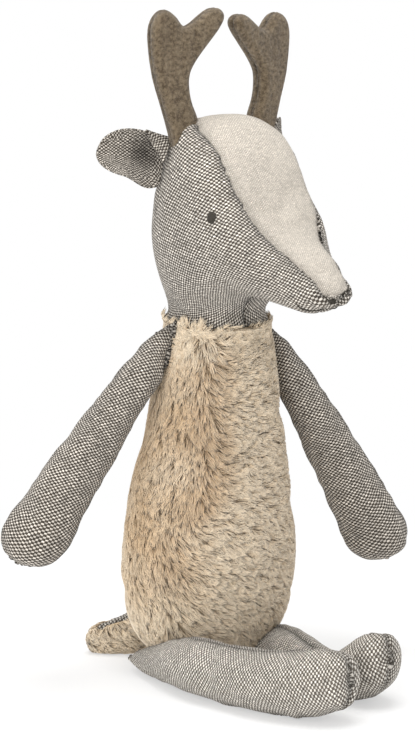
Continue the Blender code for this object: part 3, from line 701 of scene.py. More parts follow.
# %% Arms
TIP_REACH = 0.0050


def neighbours(form):
    """For each point, the points that it shares an edge with."""
    beside = [set() for _ in form.data.vertices]
    for edge in form.data.edges:
        one, other = edge.vertices
        beside[one].add(other)
        beside[other].add(one)
    return [list(points) for points in beside]


def ease_tip(form):
    """Round the end of a limb, where its rings of faces meet in one point."""
    points = read_points(form.data)
    tip = points[np.argmax(np.linalg.norm(points[:, :2], axis=1))]
    beside = neighbours(form)
    near = np.flatnonzero(np.linalg.norm(points - tip, axis=1) < TIP_REACH)
    for _ in range(4):
        means = np.array([points[beside[index]].mean(0) for index in near])
        points[near] += 0.6 * (means - points[near])
    write_points(form.data, points)


covers = {}
ARM_GRAIN = {"left": (0.45, 0.0, -1.0), "right": (-0.45, 0.0, -1.0)}
for side in ("left", "right"):
    covers.update(sew(side + "_arm_form", [
        panel(side + "_arm_front_panel", side + "_arm_front_cover", shaded_tweed, ARM_GRAIN[side], "tweed"),
        panel(side + "_arm_back_panel", side + "_arm_back_cover", shaded_tweed, ARM_GRAIN[side], "tweed",
              side + "_arm_filling"),
    ], pressure=60.0, slack=0.06, most=0.0006, shape=ease_tip))

# %% Legs
LEG_GRAIN = (0.0, -1.0, 0.0)
for side in ("left", "right"):
    covers.update(sew(side + "_leg_form", [
        panel(side + "_leg_inner_panel", side + "_leg_inner_cover", lit_leg_tweed, LEG_GRAIN, "tweed"),
        panel(side + "_leg_outer_panel", side + "_leg_outer_cover", lit_leg_tweed, LEG_GRAIN, "tweed",
              side + "_leg_filling"),
    ], pressure=60.0, slack=0.05, most=0.0008))

# %% [markdown]
# ## The head
#
# Two tweed sides meet along the back and under the chin, and a long pale gusset runs from
# the crown to the tip of the muzzle. The gusset is what gives such a head its shape. Its
# edge is a long curve, so the faces on both sides of a drawn line are given to the panel
# that they belong to, and the points between are laid on the line.

# %% Panels recut along a line
RECUT_REACH, RECUT_FAR_REACH, RECUT_CROWN = 0.0055, 0.0075, 0.0070
RECUT_CROWN_UP = (0.225, 0.240)
LAY_REACH, EASE_REACH = 0.0032, 0.0060


def smooth_step(value, low, high):
    """From 0 at the low value to 1 at the high one, level at both ends."""
    share = np.clip((value - low) / (high - low), 0.0, 1.0)
    return share * share * (3 - 2 * share)


def drawn_line(stops, count=240):
    """Evenly many points along a line, with the way it runs at each."""
    stops = np.array(stops)
    length = np.r_[0.0, np.cumsum(np.linalg.norm(np.diff(stops, axis=0), axis=1))]
    share = np.linspace(0.0, length[-1], count)
    spots = np.stack([np.interp(share, length, stops[:, axis]) for axis in range(3)], 1)
    return spots, np.gradient(spots, axis=0)


def recut(form, stops, inner, outer, towards, reach):
    """Give the faces near a line to the panel on their side of it, and lay their edge on it."""
    spots, ways = drawn_line(stops)
    near = point_tree(spots)
    for face in form.data.polygons:
        spot, index, far = near.find(face.center)
        wide = reach + RECUT_CROWN * smooth_step(face.center[2], *RECUT_CROWN_UP)
        if far > wide or index in (0, len(spots) - 1) or face.material_index not in (inner, outer):
            continue
        across = np.cross(np.array(face.normal), ways[index])
        across *= np.sign(across @ np.array(towards))
        face.material_index = inner if (np.array(face.center) - np.array(spot)) @ across > 0 else outer
    laid = set()
    for vertex, kind in zip(form.data.vertices, panels_at_points(form)):
        spot, _, far = near.find(vertex.co)
        if {inner, outer} <= kind and far < LAY_REACH:
            shift = spot - vertex.co
            vertex.co += shift - vertex.normal * shift.dot(vertex.normal)
            laid.add(vertex.index)
    ease_beside(form, laid, near)


def ease_beside(form, laid, near):
    """Spread the points beside a laid edge evenly again."""
    beside = neighbours(form)
    for _ in range(3):
        points = read_points(form.data)
        for vertex in form.data.vertices:
            if vertex.index in laid or near.find(vertex.co)[2] > EASE_REACH:
                continue
            shift = Vector(points[beside[vertex.index]].mean(0)) - vertex.co
            vertex.co += 0.6 * (shift - vertex.normal * shift.dot(vertex.normal))


def reseam(form):
    """Mark the edges between panels as the seams to unwrap by."""
    work = bmesh.new()
    work.from_mesh(form.data)
    for edge in work.edges:
        edge.seam = len({face.material_index for face in edge.link_faces}) > 1
    work.to_mesh(form.data)
    work.free()


# %% [markdown]
# The sewn and stuffed head is not quite the frame's. Its crown stands up in two soft
# corners under the antlers, the neck is filled out over its seam, the tip of the muzzle
# turns up, and the cheeks are slimmer, the far one most.

# %% Where the head's form and its seams differ from the frame
# A pair of numbers is a hill's middle and size, or the two ends of a smooth step.
CROWN, CROWN_SIZE = np.array((-0.0235, -0.0040, 0.2550)), 0.0120 * np.array((1.0, 1.35, 1.0))
CROWN_LIFT, FAR_CROWN = 0.0100, 0.12
CHIN_DROP, TIP_LIFT, TIP_BACK, NECK_FILL = 0.0018, 0.0042, 0.0034, 0.0034
FAR_CHEEK, NEAR_CHEEK, BRIDGE = 0.17, 0.06, 0.0022
CHIN_LEVEL, CHIN_BAND, CHIN_ALONG = 0.184, 0.010, (-0.074, 0.012)
TIP_ALONG, TIP_UP = (0.082, 0.101), (0.184, 0.1985)
CHEEK_UP, CHEEK_ALONG = (0.236, 0.020), (-0.036, 0.034)
BRIDGE_ALONG, BRIDGE_UP, BRIDGE_WAY = (-0.080, 0.012), (0.196, 0.206), (0.35, -0.6, 0.7)
NECK_MIDDLE, NECK_WIDEST, NECK_UP, NECK_ROUND = (0.0, -0.008), 0.045, (0.188, 0.0085), (-0.6, 0.3)
NOSE_START, NOSE_LAP = -0.080, 0.0004
FAR_WIDTH, FAR_WIDER, FAR_WIDEST, FAR_SPAN = 1.12, 0.26, 0.222, 0.014
BLAZE_EDGE = [(-0.0212, 0.0140, 0.2590), (-0.0198, 0.0070, 0.2630), (-0.0180, 0.0000, 0.2650),
              (-0.0173, -0.0070, 0.2650), (-0.0184, -0.0140, 0.2637), (-0.0208, -0.0210, 0.2624),
              (-0.0216, -0.0310, 0.2577), (-0.0220, -0.0382, 0.2510), (-0.0222, -0.0430, 0.2450),
              (-0.0208, -0.0488, 0.2357), (-0.0178, -0.0551, 0.2262), (-0.0148, -0.0609, 0.2190),
              (-0.0121, -0.0677, 0.2128), (-0.0096, -0.0808, 0.2047), (-0.0084, -0.0896, 0.1996),
              (-0.0078, -0.0945, 0.1950)]
NOSE_LINE = [(-0.0078, -0.0945, 0.1943), (-0.0056, -0.0964, 0.1925), (-0.0037, -0.0974, 0.1914),
             (-0.0010, -0.0970, 0.1926), (0.0030, -0.0958, 0.1943), (0.0085, -0.0931, 0.1960)]
LEFT_SIDE, RIGHT_SIDE, GUSSET = 0, 1, 2


def hill(values, middle, size):
    """1 at the middle, and less and less away from it."""
    return np.exp(-((values - middle) / size) ** 2)


def bend_head(points):
    """Lift the crown, level the chin, slim the cheeks and fill the neck."""
    for sign, share in ((1.0, 1.0), (-1.0, FAR_CROWN)):
        off = np.linalg.norm((points - CROWN * (sign, 1.0, 1.0)) / CROWN_SIZE, axis=1)
        points[:, 2] += share * CROWN_LIFT * np.exp(-off ** 2)
    low = 1.0 - np.clip((points[:, 2] - CHIN_LEVEL) / CHIN_BAND, 0.0, 1.0)
    chin = hill(points[:, 1], *CHIN_ALONG)
    tip = smooth_step(-points[:, 1], *TIP_ALONG) * (1.0 - smooth_step(points[:, 2], *TIP_UP))
    points[:, 2] += TIP_LIFT * tip - CHIN_DROP * low * chin
    points[:, 1] += TIP_BACK * tip
    cheek = hill(points[:, 2], *CHEEK_UP) * hill(points[:, 1], *CHEEK_ALONG)
    points[:, 0] *= 1.0 - np.where(points[:, 0] > 0, FAR_CHEEK, NEAR_CHEEK) * cheek
    bridge = hill(points[:, 1], *BRIDGE_ALONG) * smooth_step(points[:, 2], *BRIDGE_UP)
    points += BRIDGE * bridge[:, None] * BRIDGE_WAY
    off_axis = points[:, :2] - NECK_MIDDLE
    radius = np.linalg.norm(off_axis, axis=1)
    fill = NECK_FILL * hill(points[:, 2], *NECK_UP) * (radius < NECK_WIDEST)
    fill *= smooth_step(-off_axis[:, 1] / (radius + 1e-9), *NECK_ROUND)
    points[:, :2] += off_axis / (radius[:, None] + 1e-9) * fill[:, None]


def far_edge():
    """The gusset's other edge: the near one mirrored and wider, most beside the eye."""
    wider = [FAR_WIDTH + FAR_WIDER * math.exp(-((z - FAR_WIDEST) / FAR_SPAN) ** 2) for _, _, z in BLAZE_EDGE]
    return [(-x * wide, y, z) for wide, (x, y, z) in zip(wider, BLAZE_EDGE)]


def shape_head(form):
    """Bend the head, end the gusset at the nose and recut both its edges."""
    points = read_points(form.data)
    bend_head(points)
    write_points(form.data, points)
    across = [spot[0] for spot in NOSE_LINE]
    up = [spot[2] for spot in NOSE_LINE]
    for face in form.data.polygons:
        x, y, z = face.center
        if face.material_index == GUSSET and y < NOSE_START and z < np.interp(x, across, up) - NOSE_LAP:
            face.material_index = RIGHT_SIDE if x < NOSE_LINE[2][0] else LEFT_SIDE
    recut(form, BLAZE_EDGE, GUSSET, RIGHT_SIDE, (1.0, 0.0, 0.0), RECUT_REACH)
    recut(form, far_edge(), GUSSET, LEFT_SIDE, (-1.0, 0.0, 0.0), RECUT_FAR_REACH)
    reseam(form)
    unwrap_panels(form, [HEAD_GRAIN, HEAD_GRAIN, BLAZE_GRAIN])


# %% Head
HEAD_GRAIN, BLAZE_GRAIN = (0.0, 0.36, 1.0), (0.0, -1.0, 0.4)
covers.update(sew("head_form", [
    panel("head_left_panel", "head_left_cover", tweed, HEAD_GRAIN, "tweed"),
    panel("head_right_panel", "head_right_cover", tweed, HEAD_GRAIN, "tweed", "head_filling"),
    panel("face_blaze", "face_blaze_cover", linen, BLAZE_GRAIN, "linen"),
], pressure=40.0, slack=0.04, most=0.0005, shape=shape_head))

# %% [markdown]
# ## The torso and the tail
#
# The torso is a pear-shaped sack: a front and a back of knitted backing that carry the
# pile, and a flat base that closes over the bag of pellets.

# %% Torso
PILE_ROOM, SEAT_EDGE = 0.0018, 0.003
covers.update(sew("torso_form", [
    panel("torso_back_panel", "torso_back_cover", linen, (0.0, 0.0, -1.0), "fur"),
    panel("torso_front_panel", "torso_front_cover", linen, (0.0, 0.0, -1.0), "fur",
          "torso_filling", "pellet_bag"),
    panel("seat_base", "seat_base_cover", tweed, (0.0, 1.0, 0.0), "lining"),
], pressure=40.0, slack=0.03, most=0.0012, hold=lambda points: points[:, 2] < SEAT_EDGE, room=PILE_ROOM))

# %% Tail
TAIL_LAP = 0.62


def lap_under(form):
    """The tail's fur side laps up round its edge and leaves tweed on top only."""
    for face in form.data.polygons:
        face.material_index = 0 if face.normal[2] > TAIL_LAP else 1
    reseam(form)


covers.update(sew("tail_form", [
    panel("tail_top_panel", "tail_top_cover", tweed, (0.0, 1.0, 0.0), "tweed", "tail_filling"),
    panel("tail_under_panel", "tail_under_cover", linen, (0.0, 1.0, 0.0), "fur"),
], pressure=60.0, slack=0.05, most=0.0015, shape=lap_under))

# %% [markdown]
# ## Where the covers belong
#
# A limb has no pin. The torso's covers are attached to the torso, and every other cover
# keeps its place, baked into its mesh.


def follow(piece):
    """Bake the piece's place into its mesh."""
    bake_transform(piece)


for name, piece in covers.items():
    first, second = name.split("_")[:2]
    if first in ("torso", "seat"):
        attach(piece, "torso")
    elif first in ("left", "right"):
        follow(piece)
    else:
        follow(piece)

# %% [markdown]
# ## The ears
#
# An ear is a front and a back leaf of thin cloth, sewn round the edge and turned. At the
# root it is pinched, so its upper edge rolls forward over the cup and shows the back
# leaf. It holds no stuffing, so it isn't blown up: the leaves keep the frame's form, get
# a soft wave, and the rolled edge is laid over them as the fold it is.

# %% A leaf of thin cloth
EAR_WEAVE = 1.2


def leaf(node_name, name, cloth, grain):
    """A frame leaf welded, unwrapped and smoothed."""
    piece = frame_copy(node_name, name)
    mesh = piece.data
    mesh.materials.append(cloth)
    with edit(piece):
        weld()
        bpy.ops.mesh.edges_select_sharp(sharpness=SHARP)
        bpy.ops.mesh.mark_seam(clear=False)
        bpy.ops.mesh.select_all(action="SELECT")
        bpy.ops.mesh.normals_make_consistent(inside=False)
        bpy.ops.mesh.faces_shade_smooth()
    mesh.polygons.foreach_set("material_index", np.zeros(len(mesh.polygons), int))
    unwrap_panels(piece, [grain])
    for corner in mesh.uv_layers.active.data:
        corner.uv *= EAR_WEAVE
    round_off(piece)
    return piece


# %% The cup of an ear
EAR_HINGE = np.array((0.0315, -0.0035, 0.2480))
EAR_ALONG = np.array((0.807, 0.565, 0.174))
EAR_ACROSS = np.array((-0.231, 0.031, 0.972))
EAR_FRONT = np.array((0.544, -0.825, 0.156))
CUP, CUP_SIZE, CUP_DEPTH, CUP_SHADE = (0.0060, 0.0040), (0.0065, 0.0070), 0.0064, 1.25
LOWER_TAPER, TAPER_OUT = 0.34, (0.002, 0.016)


def ear_ways(hand):
    """An ear's hinge and its directions outwards, upwards and to the front, on one side."""
    side = np.array((hand, 1.0, 1.0))
    return EAR_HINGE * side, EAR_ALONG * side, EAR_ACROSS * side, EAR_FRONT * side


def cup_leaf(piece, hand):
    """Press the middle of an ear back, most near its root, and paint shade into the hollow."""
    hinge, along, across, front = ear_ways(hand)
    points = read_points(piece.data)
    out, up = (points - hinge) @ along, (points - hinge) @ across
    depth = np.exp(-((out - CUP[0]) / CUP_SIZE[0]) ** 2 - ((up - CUP[1]) / CUP_SIZE[1]) ** 2)
    points -= CUP_DEPTH * depth[:, None] * front
    lower = LOWER_TAPER * smooth_step(out, *TAPER_OUT) * np.minimum(up, 0.0)
    write_points(piece.data, points - lower[:, None] * across)
    # Painted shade in the hollow of the cup, carried by the seam attribute.
    mark_points(piece.data, "seam", CUP_SHADE * depth)


def follow_ear(piece):
    """Bake the piece's place into its mesh."""
    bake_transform(piece)


# %% The rolled edge of an ear
FOLD_TOP, FOLD_TIP = np.array((-0.0034, 0.0128)), np.array((0.0090, 0.0138))
FOLD_FOOT = np.array((-0.0020, 0.0))
FOLD_RISE, FOLD_LEAST, FOLD_THICKNESS = 0.0062, 0.0008, 0.0011
FOLD_ROWS, FOLD_COLUMNS = 22, 16


def fold_places(front_leaf, hand):
    """The places of the fold's points, which stand on the cup and swell over it."""
    hinge, along, across, front = ear_ways(hand)
    work = bmesh.new()
    work.from_mesh(front_leaf.data)
    cup = BVHTree.FromBMesh(work)
    work.free()
    places = np.empty((FOLD_ROWS, FOLD_COLUMNS, 3))
    ground = np.full((FOLD_ROWS, FOLD_COLUMNS), np.nan)
    for i, s in enumerate(np.linspace(0.0, 1.0, FOLD_ROWS)):
        crease = FOLD_TOP + (FOLD_TIP - FOLD_TOP) * s
        hem = FOLD_FOOT + (FOLD_TIP - FOLD_FOOT) * s
        for j, t in enumerate(np.linspace(0.0, 1.0, FOLD_COLUMNS)):
            reach, height = crease + (hem - crease) * t
            spot = hinge + along * reach + across * height
            hit = cup.ray_cast(Vector(spot + front * 0.02), Vector(-front))[0]
            if hit:
                ground[i, j] = (np.array(hit) - spot) @ front
            swell = FOLD_RISE * math.sin(math.pi * (0.08 + 0.55 * t)) * (1.0 - 0.75 * s) + FOLD_LEAST
            places[i, j] = spot + front * swell
    known = np.argwhere(~np.isnan(ground))
    for i, j in np.argwhere(np.isnan(ground)):
        ground[i, j] = ground[tuple(known[np.argmin(np.abs(known - (i, j)).sum(1))])]
    return places + front * ground[:, :, None]


def ear_roll(side, hand, front_leaf):
    """The upper edge of an ear, pinched and rolled forward at the root."""
    sheet = bmesh.new()
    rows = [[sheet.verts.new(place) for place in line] for line in fold_places(front_leaf, hand)]
    for lower, upper in zip(rows, rows[1:]):
        for index in range(len(lower) - 1):
            sheet.faces.new((lower[index], lower[index + 1], upper[index + 1], upper[index])).smooth = True
    mesh = bpy.data.meshes.new(side + "_ear_fold")
    sheet.to_mesh(mesh)
    sheet.free()
    fold = add_object(side + "_ear_fold", mesh)
    mesh.materials.append(shaded_tweed)
    with edit(fold):
        bpy.ops.mesh.normals_make_consistent(inside=False)
    _, along, across, _ = ear_ways(hand)
    unwrap_panels(fold, [tuple(along + 0.8 * across)])
    apply_modifier(fold, "SOLIDIFY", thickness=FOLD_THICKNESS, offset=0.0)
    apply_modifier(fold, "SUBSURF", levels=1, render_levels=1)
    mark_points(fold.data, "seam", np.zeros(len(fold.data.vertices)))
    follow_ear(fold)
    print(fold.name, "faces", len(fold.data.polygons))


# %% Both ears
for side, hand in (("left", 1.0), ("right", -1.0)):
    for face in ("front", "back"):
        node_name = side + "_ear_" + face
        piece = leaf(node_name, node_name + "_leaf", shaded_tweed, tuple(ear_ways(hand)[1]))
        cup_leaf(piece, hand)
        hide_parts(node_name)
        if face == "front":
            ear_roll(side, hand, piece)
        follow_ear(piece)
        print(piece.name, "faces", len(piece.data.polygons))

# %% [markdown]
# ## The antlers
#
# Each antler is two felt faces sewn edge to edge, turned and stuffed. Felt has no weave:
# it is matted wool, mottled in colour, with short fibres standing off it. The seam runs
# round the middle of the edge as a narrow crease, so it is pressed in there, and the two
# faces stay separate pieces.

# %% Felt
def felt_material(name, dark, pale):
    """Matted wool, mottled by noise at the size of its tufts and of its fibres, with painted shade along its
    seam crease.
    """
    material, shader = new_material(name)
    tree = material.node_tree
    place = add_node(tree, "TexCoord").outputs["Object"]
    tufts = add_noise(tree, place, 620.0, 4.0, 0.65)
    fibres = add_noise(tree, place, 2600.0, 3.0, 0.7)
    patch = add_noise(tree, place, 90.0, 2.0)
    mottle = add_math(tree, "ADD", add_math(tree, "MULTIPLY", tufts, 3.2),
                      add_math(tree, "MULTIPLY", fibres, 2.0))
    fleck = add_math(tree, "SUBTRACT", add_math(tree, "ADD", mottle, add_math(tree, "MULTIPLY", patch, 0.6)),
                     2.45, clamp=True)
    colour = add_mix(tree, fleck, (*dark, 1.0), (*pale, 1.0))
    # Painted shade in the seam crease.
    crease = add_math(tree, "MULTIPLY", read_attribute(tree, "seam"), 0.30)
    shade = add_math(tree, "SUBTRACT", 1.0, crease)
    tree.links.new(add_tone(tree, colour, shade), shader.inputs["Base Color"])
    add_bump(tree, shader, mottle, 0.7, 0.0004)
    set_surface(shader, 0.95, 0.1, 0.22, 0.55)
    return material


felt = felt_material("felt_cloth", (0.075, 0.052, 0.030), (0.235, 0.180, 0.115))
print("felt:", felt.name)

# %% A soft antler from its frame solids
VOXEL = 0.0011


def keep_outer_skin(thing):
    """Drop every loose skin but the widest, such as the walls of an inner hollow."""
    work = bmesh.new()
    work.from_mesh(thing.data)
    left, shells = set(work.verts), []
    while left:
        shell, ahead = set(), [next(iter(left))]
        while ahead:
            vertex = ahead.pop()
            if vertex in shell:
                continue
            shell.add(vertex)
            ahead += [link.other_vert(vertex) for link in vertex.link_edges]
        left -= shell
        shells.append(shell)
    widest = max(shells, key=lambda shell: max(v.co.z for v in shell) - min(v.co.z for v in shell))
    inner = [vertex for shell in shells if shell is not widest for vertex in shell]
    bmesh.ops.delete(work, geom=inner, context="VERTS")
    work.to_mesh(thing.data)
    work.free()


def soft_antler(side):
    """Both felt layers of the frame as one rounded solid."""
    copies = []
    for node_name in (side + "_antler_front", side + "_antler_back"):
        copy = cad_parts[node_name].copy()
        copy.data = copy.data.copy()
        copy.parent = None
        bpy.context.scene.collection.objects.link(copy)
        copy.hide_viewport = copy.hide_render = False
        copies.append(copy)
    whole = join_objects(copies, side + "_antler_form")
    apply_modifier(whole, "REMESH", mode="VOXEL", voxel_size=VOXEL, use_smooth_shade=True)
    keep_outer_skin(whole)
    apply_modifier(whole, "SMOOTH", factor=0.6, iterations=7)
    return whole


# %% Stuffed felt faces
ANTLER_TOE = math.radians(10.0)
FELT_THICKNESS, FELT_SWELL = 0.0012, 0.0004
CREASE_DEPTH, CREASE_HALF, CREASE_SHADOW = 0.0009, 0.0008, 0.0009


def stuffed_antler(side, hand):
    """One antler with a pressed seam, parted into its two faces."""
    whole = soft_antler(side)
    front = np.array((hand * math.sin(ANTLER_TOE), -math.cos(ANTLER_TOE), 0.0))
    points = read_points(whole.data)
    normals = np.array([vertex.normal for vertex in whole.data.vertices])
    middle = (points.max(0) + points.min(0)) / 2
    off = np.abs((points - middle) @ front)
    points += normals * (FELT_SWELL - CREASE_DEPTH * np.exp(-(off / CREASE_HALF) ** 2))[:, None]
    write_points(whole.data, points)
    # Painted shade along the crease, carried by the seam attribute.
    mark_points(whole.data, "seam", np.exp(-(off / CREASE_SHADOW) ** 2))
    whole.data.materials.clear()
    whole.data.materials.append(felt)
    for name, keep_front in (("front", True), ("back", False)):
        node_name = side + "_antler_" + name
        face = whole.copy()
        face.data = whole.data.copy()
        face.name = face.data.name = node_name + "_felt"
        bpy.context.scene.collection.objects.link(face)
        with edit(face):
            bpy.ops.mesh.bisect(plane_co=middle, plane_no=front,
                                clear_inner=keep_front, clear_outer=not keep_front)
        apply_modifier(face, "SOLIDIFY", thickness=FELT_THICKNESS, offset=-1.0)
        extra = [side + "_antler_filling"] if keep_front else []
        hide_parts(node_name, *extra)
        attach(face, "head")
        print(face.name, "faces", len(face.data.polygons))
    bpy.data.objects.remove(whole)


stuffed_antler("left", 1.0)
stuffed_antler("right", -1.0)

# %% [markdown]
# ## The pile
#
# The body is a long-pile plush: fine fibres that stand a few millimetres off a knitted
# backing, lie over in the direction they were last brushed, and stick together at their
# tips in small locks. The furrows between the locks are what the eye reads as fur. A bump
# on a smooth surface would lose both the furrows and the soft outline, so the fibres are
# modelled: each is a thin three-sided blade that rises from its root, bends to the lie of
# the pile and is drawn towards the tip of its lock.

# %% Colour from root to tip
def pile_material(name, root_shade, middle, tip):
    """Dark at the roots with painted shade deep in the pile, light at the tips, and a little different from
    lock to lock.
    """
    material, shader = new_material(name)
    tree = material.node_tree
    # The roots' colour is painted shade deep in the pile.
    ramp = add_node(tree, "ValToRGB", read_attribute(tree, "rise"))
    stops = ramp.color_ramp.elements
    stops[0].position, stops[0].color = 0.0, (*root_shade, 1.0)
    stops[1].position, stops[1].color = 1.0, (*tip, 1.0)
    between = stops.new(0.45)
    between.color = (*middle, 1.0)
    value = add_math(tree, "ADD", add_math(tree, "MULTIPLY", read_attribute(tree, "lock"), 0.34), 0.83)
    # Painted nap shade: the marked fibres are tinted darker and warmer.
    nap_shaded = add_mix(tree, 1.0, ramp.outputs["Color"], NAP_SHADE_TINT, "MULTIPLY")
    coat = add_mix(tree, read_attribute(tree, "painted_nap_shade"), ramp.outputs["Color"], nap_shaded)
    tree.links.new(add_tone(tree, coat, value), shader.inputs["Base Color"])
    set_surface(shader, 0.75, 0.18, 0.25, 0.5)
    return material


NAP_SHADE_TINT = (0.80, 0.705, 0.60, 1.0)
pile = pile_material("pile_fibre", (0.46, 0.345, 0.22), (0.70, 0.57, 0.41), (0.88, 0.775, 0.62))
print("pile:", pile.name)

# %% Backing under the pile
backing, backing_shader = new_material("pile_backing")
backing_tree = backing.node_tree
backing_place = add_node(backing_tree, "TexCoord").outputs["Object"]
backing_noise = add_noise(backing_tree, backing_place, 700.0, 3.0, 0.6)
backing_tree.links.new(add_mix(backing_tree, backing_noise, (0.46, 0.34, 0.21, 1.0), (0.68, 0.55, 0.39, 1.0)),
                       backing_shader.inputs["Base Color"])
set_surface(backing_shader, 0.9, 0.1)
for name in ("torso_front_cover", "torso_back_cover", "tail_under_cover"):
    covers[name].data.materials[0] = backing
print("backing:", backing.name)

# %% Which way the pile is brushed
HIGH_PART, LOW_PART, PART_UP, PART_WIDTH = -38.0, -62.0, (0.070, 0.098), (-9.0, 14.0)
BACK_LIE, BACK_TURN = -85.0, (75.0, 120.0)


def parting(height):
    """The turn about the body, in degrees, where the two lies of the pile meet."""
    return LOW_PART + (HIGH_PART - LOW_PART) * smooth_step(height, *PART_UP)


def brushed_angle(turn, height):
    """Angle of the lie above the level, in degrees, at a turn about the body and a height."""
    right = np.interp(height, [0.0, 0.03, 0.045, 0.08, 0.095, 0.13, 0.145], [-38, -30, -25, -22, -6, -3, 8])
    left = np.interp(height, [0.0, 0.07, 0.09], [-72, -75, -96])
    over = smooth_step(turn, parting(height) + PART_WIDTH[0], parting(height) + PART_WIDTH[1])
    angle = left + (right - left) * over
    round_back = smooth_step(turn, *BACK_TURN)
    return angle + (BACK_LIE - angle) * round_back


# %% Roots spread evenly over a cover
def spread_roots(skin, count, seed):
    """Points on a cover's outer faces, as many per area everywhere."""
    chance = np.random.default_rng(seed)
    corners = skin["points"][skin["triangles"]]
    cross = np.cross(corners[:, 1] - corners[:, 0], corners[:, 2] - corners[:, 0])
    area = np.linalg.norm(cross, axis=1) / 2
    total = np.cumsum(area)
    pick = np.searchsorted(total, (np.arange(count) + chance.random(count)) / count * total[-1])
    pick = np.minimum(pick, len(area) - 1)
    first, second = chance.random((2, count))
    over = first + second > 1
    first[over], second[over] = 1 - first[over], 1 - second[over]
    spots = corners[pick, 0] + first[:, None] * (corners[pick, 1] - corners[pick, 0]) \
        + second[:, None] * (corners[pick, 2] - corners[pick, 0])
    return spots, cross[pick] / (2 * area[pick, None] + 1e-12), total[-1]


# %% Paths of the fibres
STEPS = np.array((0.0, 0.36, 0.70, 1.0))
LIFT = np.array((-0.0004, 0.0017, 0.0024, 0.0021))


def fibre_paths(skin, spots, normals, angles, lengths, lift):
    """Each fibre's points, which follow the skin at the height of its lift."""
    level = np.stack([-normals[:, 1], normals[:, 0], np.zeros(len(spots))], 1)
    level /= np.linalg.norm(level, axis=1)[:, None] + 1e-9
    upward = np.cross(normals, level)
    radians = np.radians(angles)
    heading = level * np.cos(radians)[:, None] + upward * np.sin(radians)[:, None]
    paths = np.empty((len(spots), len(STEPS), 3))
    ground, normal = spots.copy(), normals.copy()
    paths[:, 0] = spots + normals * lift[0]
    for step in range(1, len(STEPS)):
        ground = ground + heading * (lengths * (STEPS[step] - STEPS[step - 1]))[:, None]
        for index in range(len(ground)):
            place, facing, _, _ = skin.find_nearest(Vector(ground[index]))
            ground[index], normal[index] = place, facing
        heading = heading - normal * np.sum(heading * normal, axis=1)[:, None]
        heading /= np.linalg.norm(heading, axis=1)[:, None] + 1e-9
        paths[:, step] = ground + normal * lift[step]
    return paths


# %% From paths to blades
RADII = (0.00020, 0.00023, 0.00017)


def blades(name, paths, normals, locks, painted_nap_shades):
    """Three-sided blades that know each point's rise, its lock's tone and how much painted nap shade it has.
    """
    count = len(paths)
    heading = paths[:, 1] - paths[:, 0]
    side = np.cross(heading, normals)
    side /= np.linalg.norm(side, axis=1)[:, None] + 1e-9
    rings = []
    for step, radius in enumerate(RADII):
        rings += [paths[:, step] + side * radius, paths[:, step] - side * radius,
                  paths[:, step] + normals * radius * 1.1]
    points = np.stack(rings + [paths[:, -1]], 1)
    per = points.shape[1]
    around = [(0, 1), (1, 2), (2, 0)]
    last = 3 * (len(RADII) - 1)
    quads = [(s + a, s + b, s + 3 + b, s + 3 + a) for s in range(0, last, 3) for a, b in around]
    tips = [(last + a, last + b, per - 1) for a, b in around]
    base = np.arange(count)[:, None, None] * per
    quad_faces = (np.array(quads)[None] + base).reshape(-1, 4)
    tip_faces = (np.array(tips)[None] + base).reshape(-1, 3)
    mesh = bpy.data.meshes.new(name)
    mesh.from_pydata(points.reshape(-1, 3).tolist(), [], quad_faces.tolist() + tip_faces.tolist())
    share = np.concatenate([np.repeat(STEPS[:len(RADII)], 3), [1.0]])
    mark_points(mesh, "rise", np.tile(share, count))
    mark_points(mesh, "lock", np.repeat(locks, per))
    mark_points(mesh, "painted_nap_shade", np.repeat(painted_nap_shades, per))
    mesh.polygons.foreach_set("use_smooth", np.ones(len(mesh.polygons), bool))
    mesh.materials.append(pile)
    print(name, "fibres", count, "faces", len(mesh.polygons))
    piece = add_object(name, mesh)
    return piece


# %% Grow pile over covers
LOCK_AREA = 3.2e-6
CURL = 0.00045
DRAW_SHARES = np.array((0.0, 0.35, 0.80, 1.0))
WANDER, WANDER_DENSITY = 30.0, 120.0
RUFFLE, RUFFLE_DENSITY = 34.0, 340.0
LOCK_STRAY, FIBRE_STRAY = 7.0, 6.0


def inside(limb, spots):
    """Which spots lie inside a limb's skin."""
    tree, low, high = limb
    held = np.all((spots > low) & (spots < high), axis=1)
    for index in np.flatnonzero(held):
        near, normal, _, _ = tree.find_nearest(Vector(spots[index]))
        held[index] = (Vector(spots[index]) - near).dot(normal) < 0
    return held


def joined_skin(names):
    """Several covers' skins as one."""
    points, triangles, first = [], [], 0
    for name in names:
        points.append(skins[name]["points"])
        triangles.append(skins[name]["triangles"] + first)
        first += len(points[-1])
    return {"points": np.concatenate(points), "triangles": np.concatenate(triangles)}


def skin_tree(skin):
    """A tree that finds the nearest place on a skin."""
    return BVHTree.FromPolygons(skin["points"].tolist(), skin["triangles"].tolist())


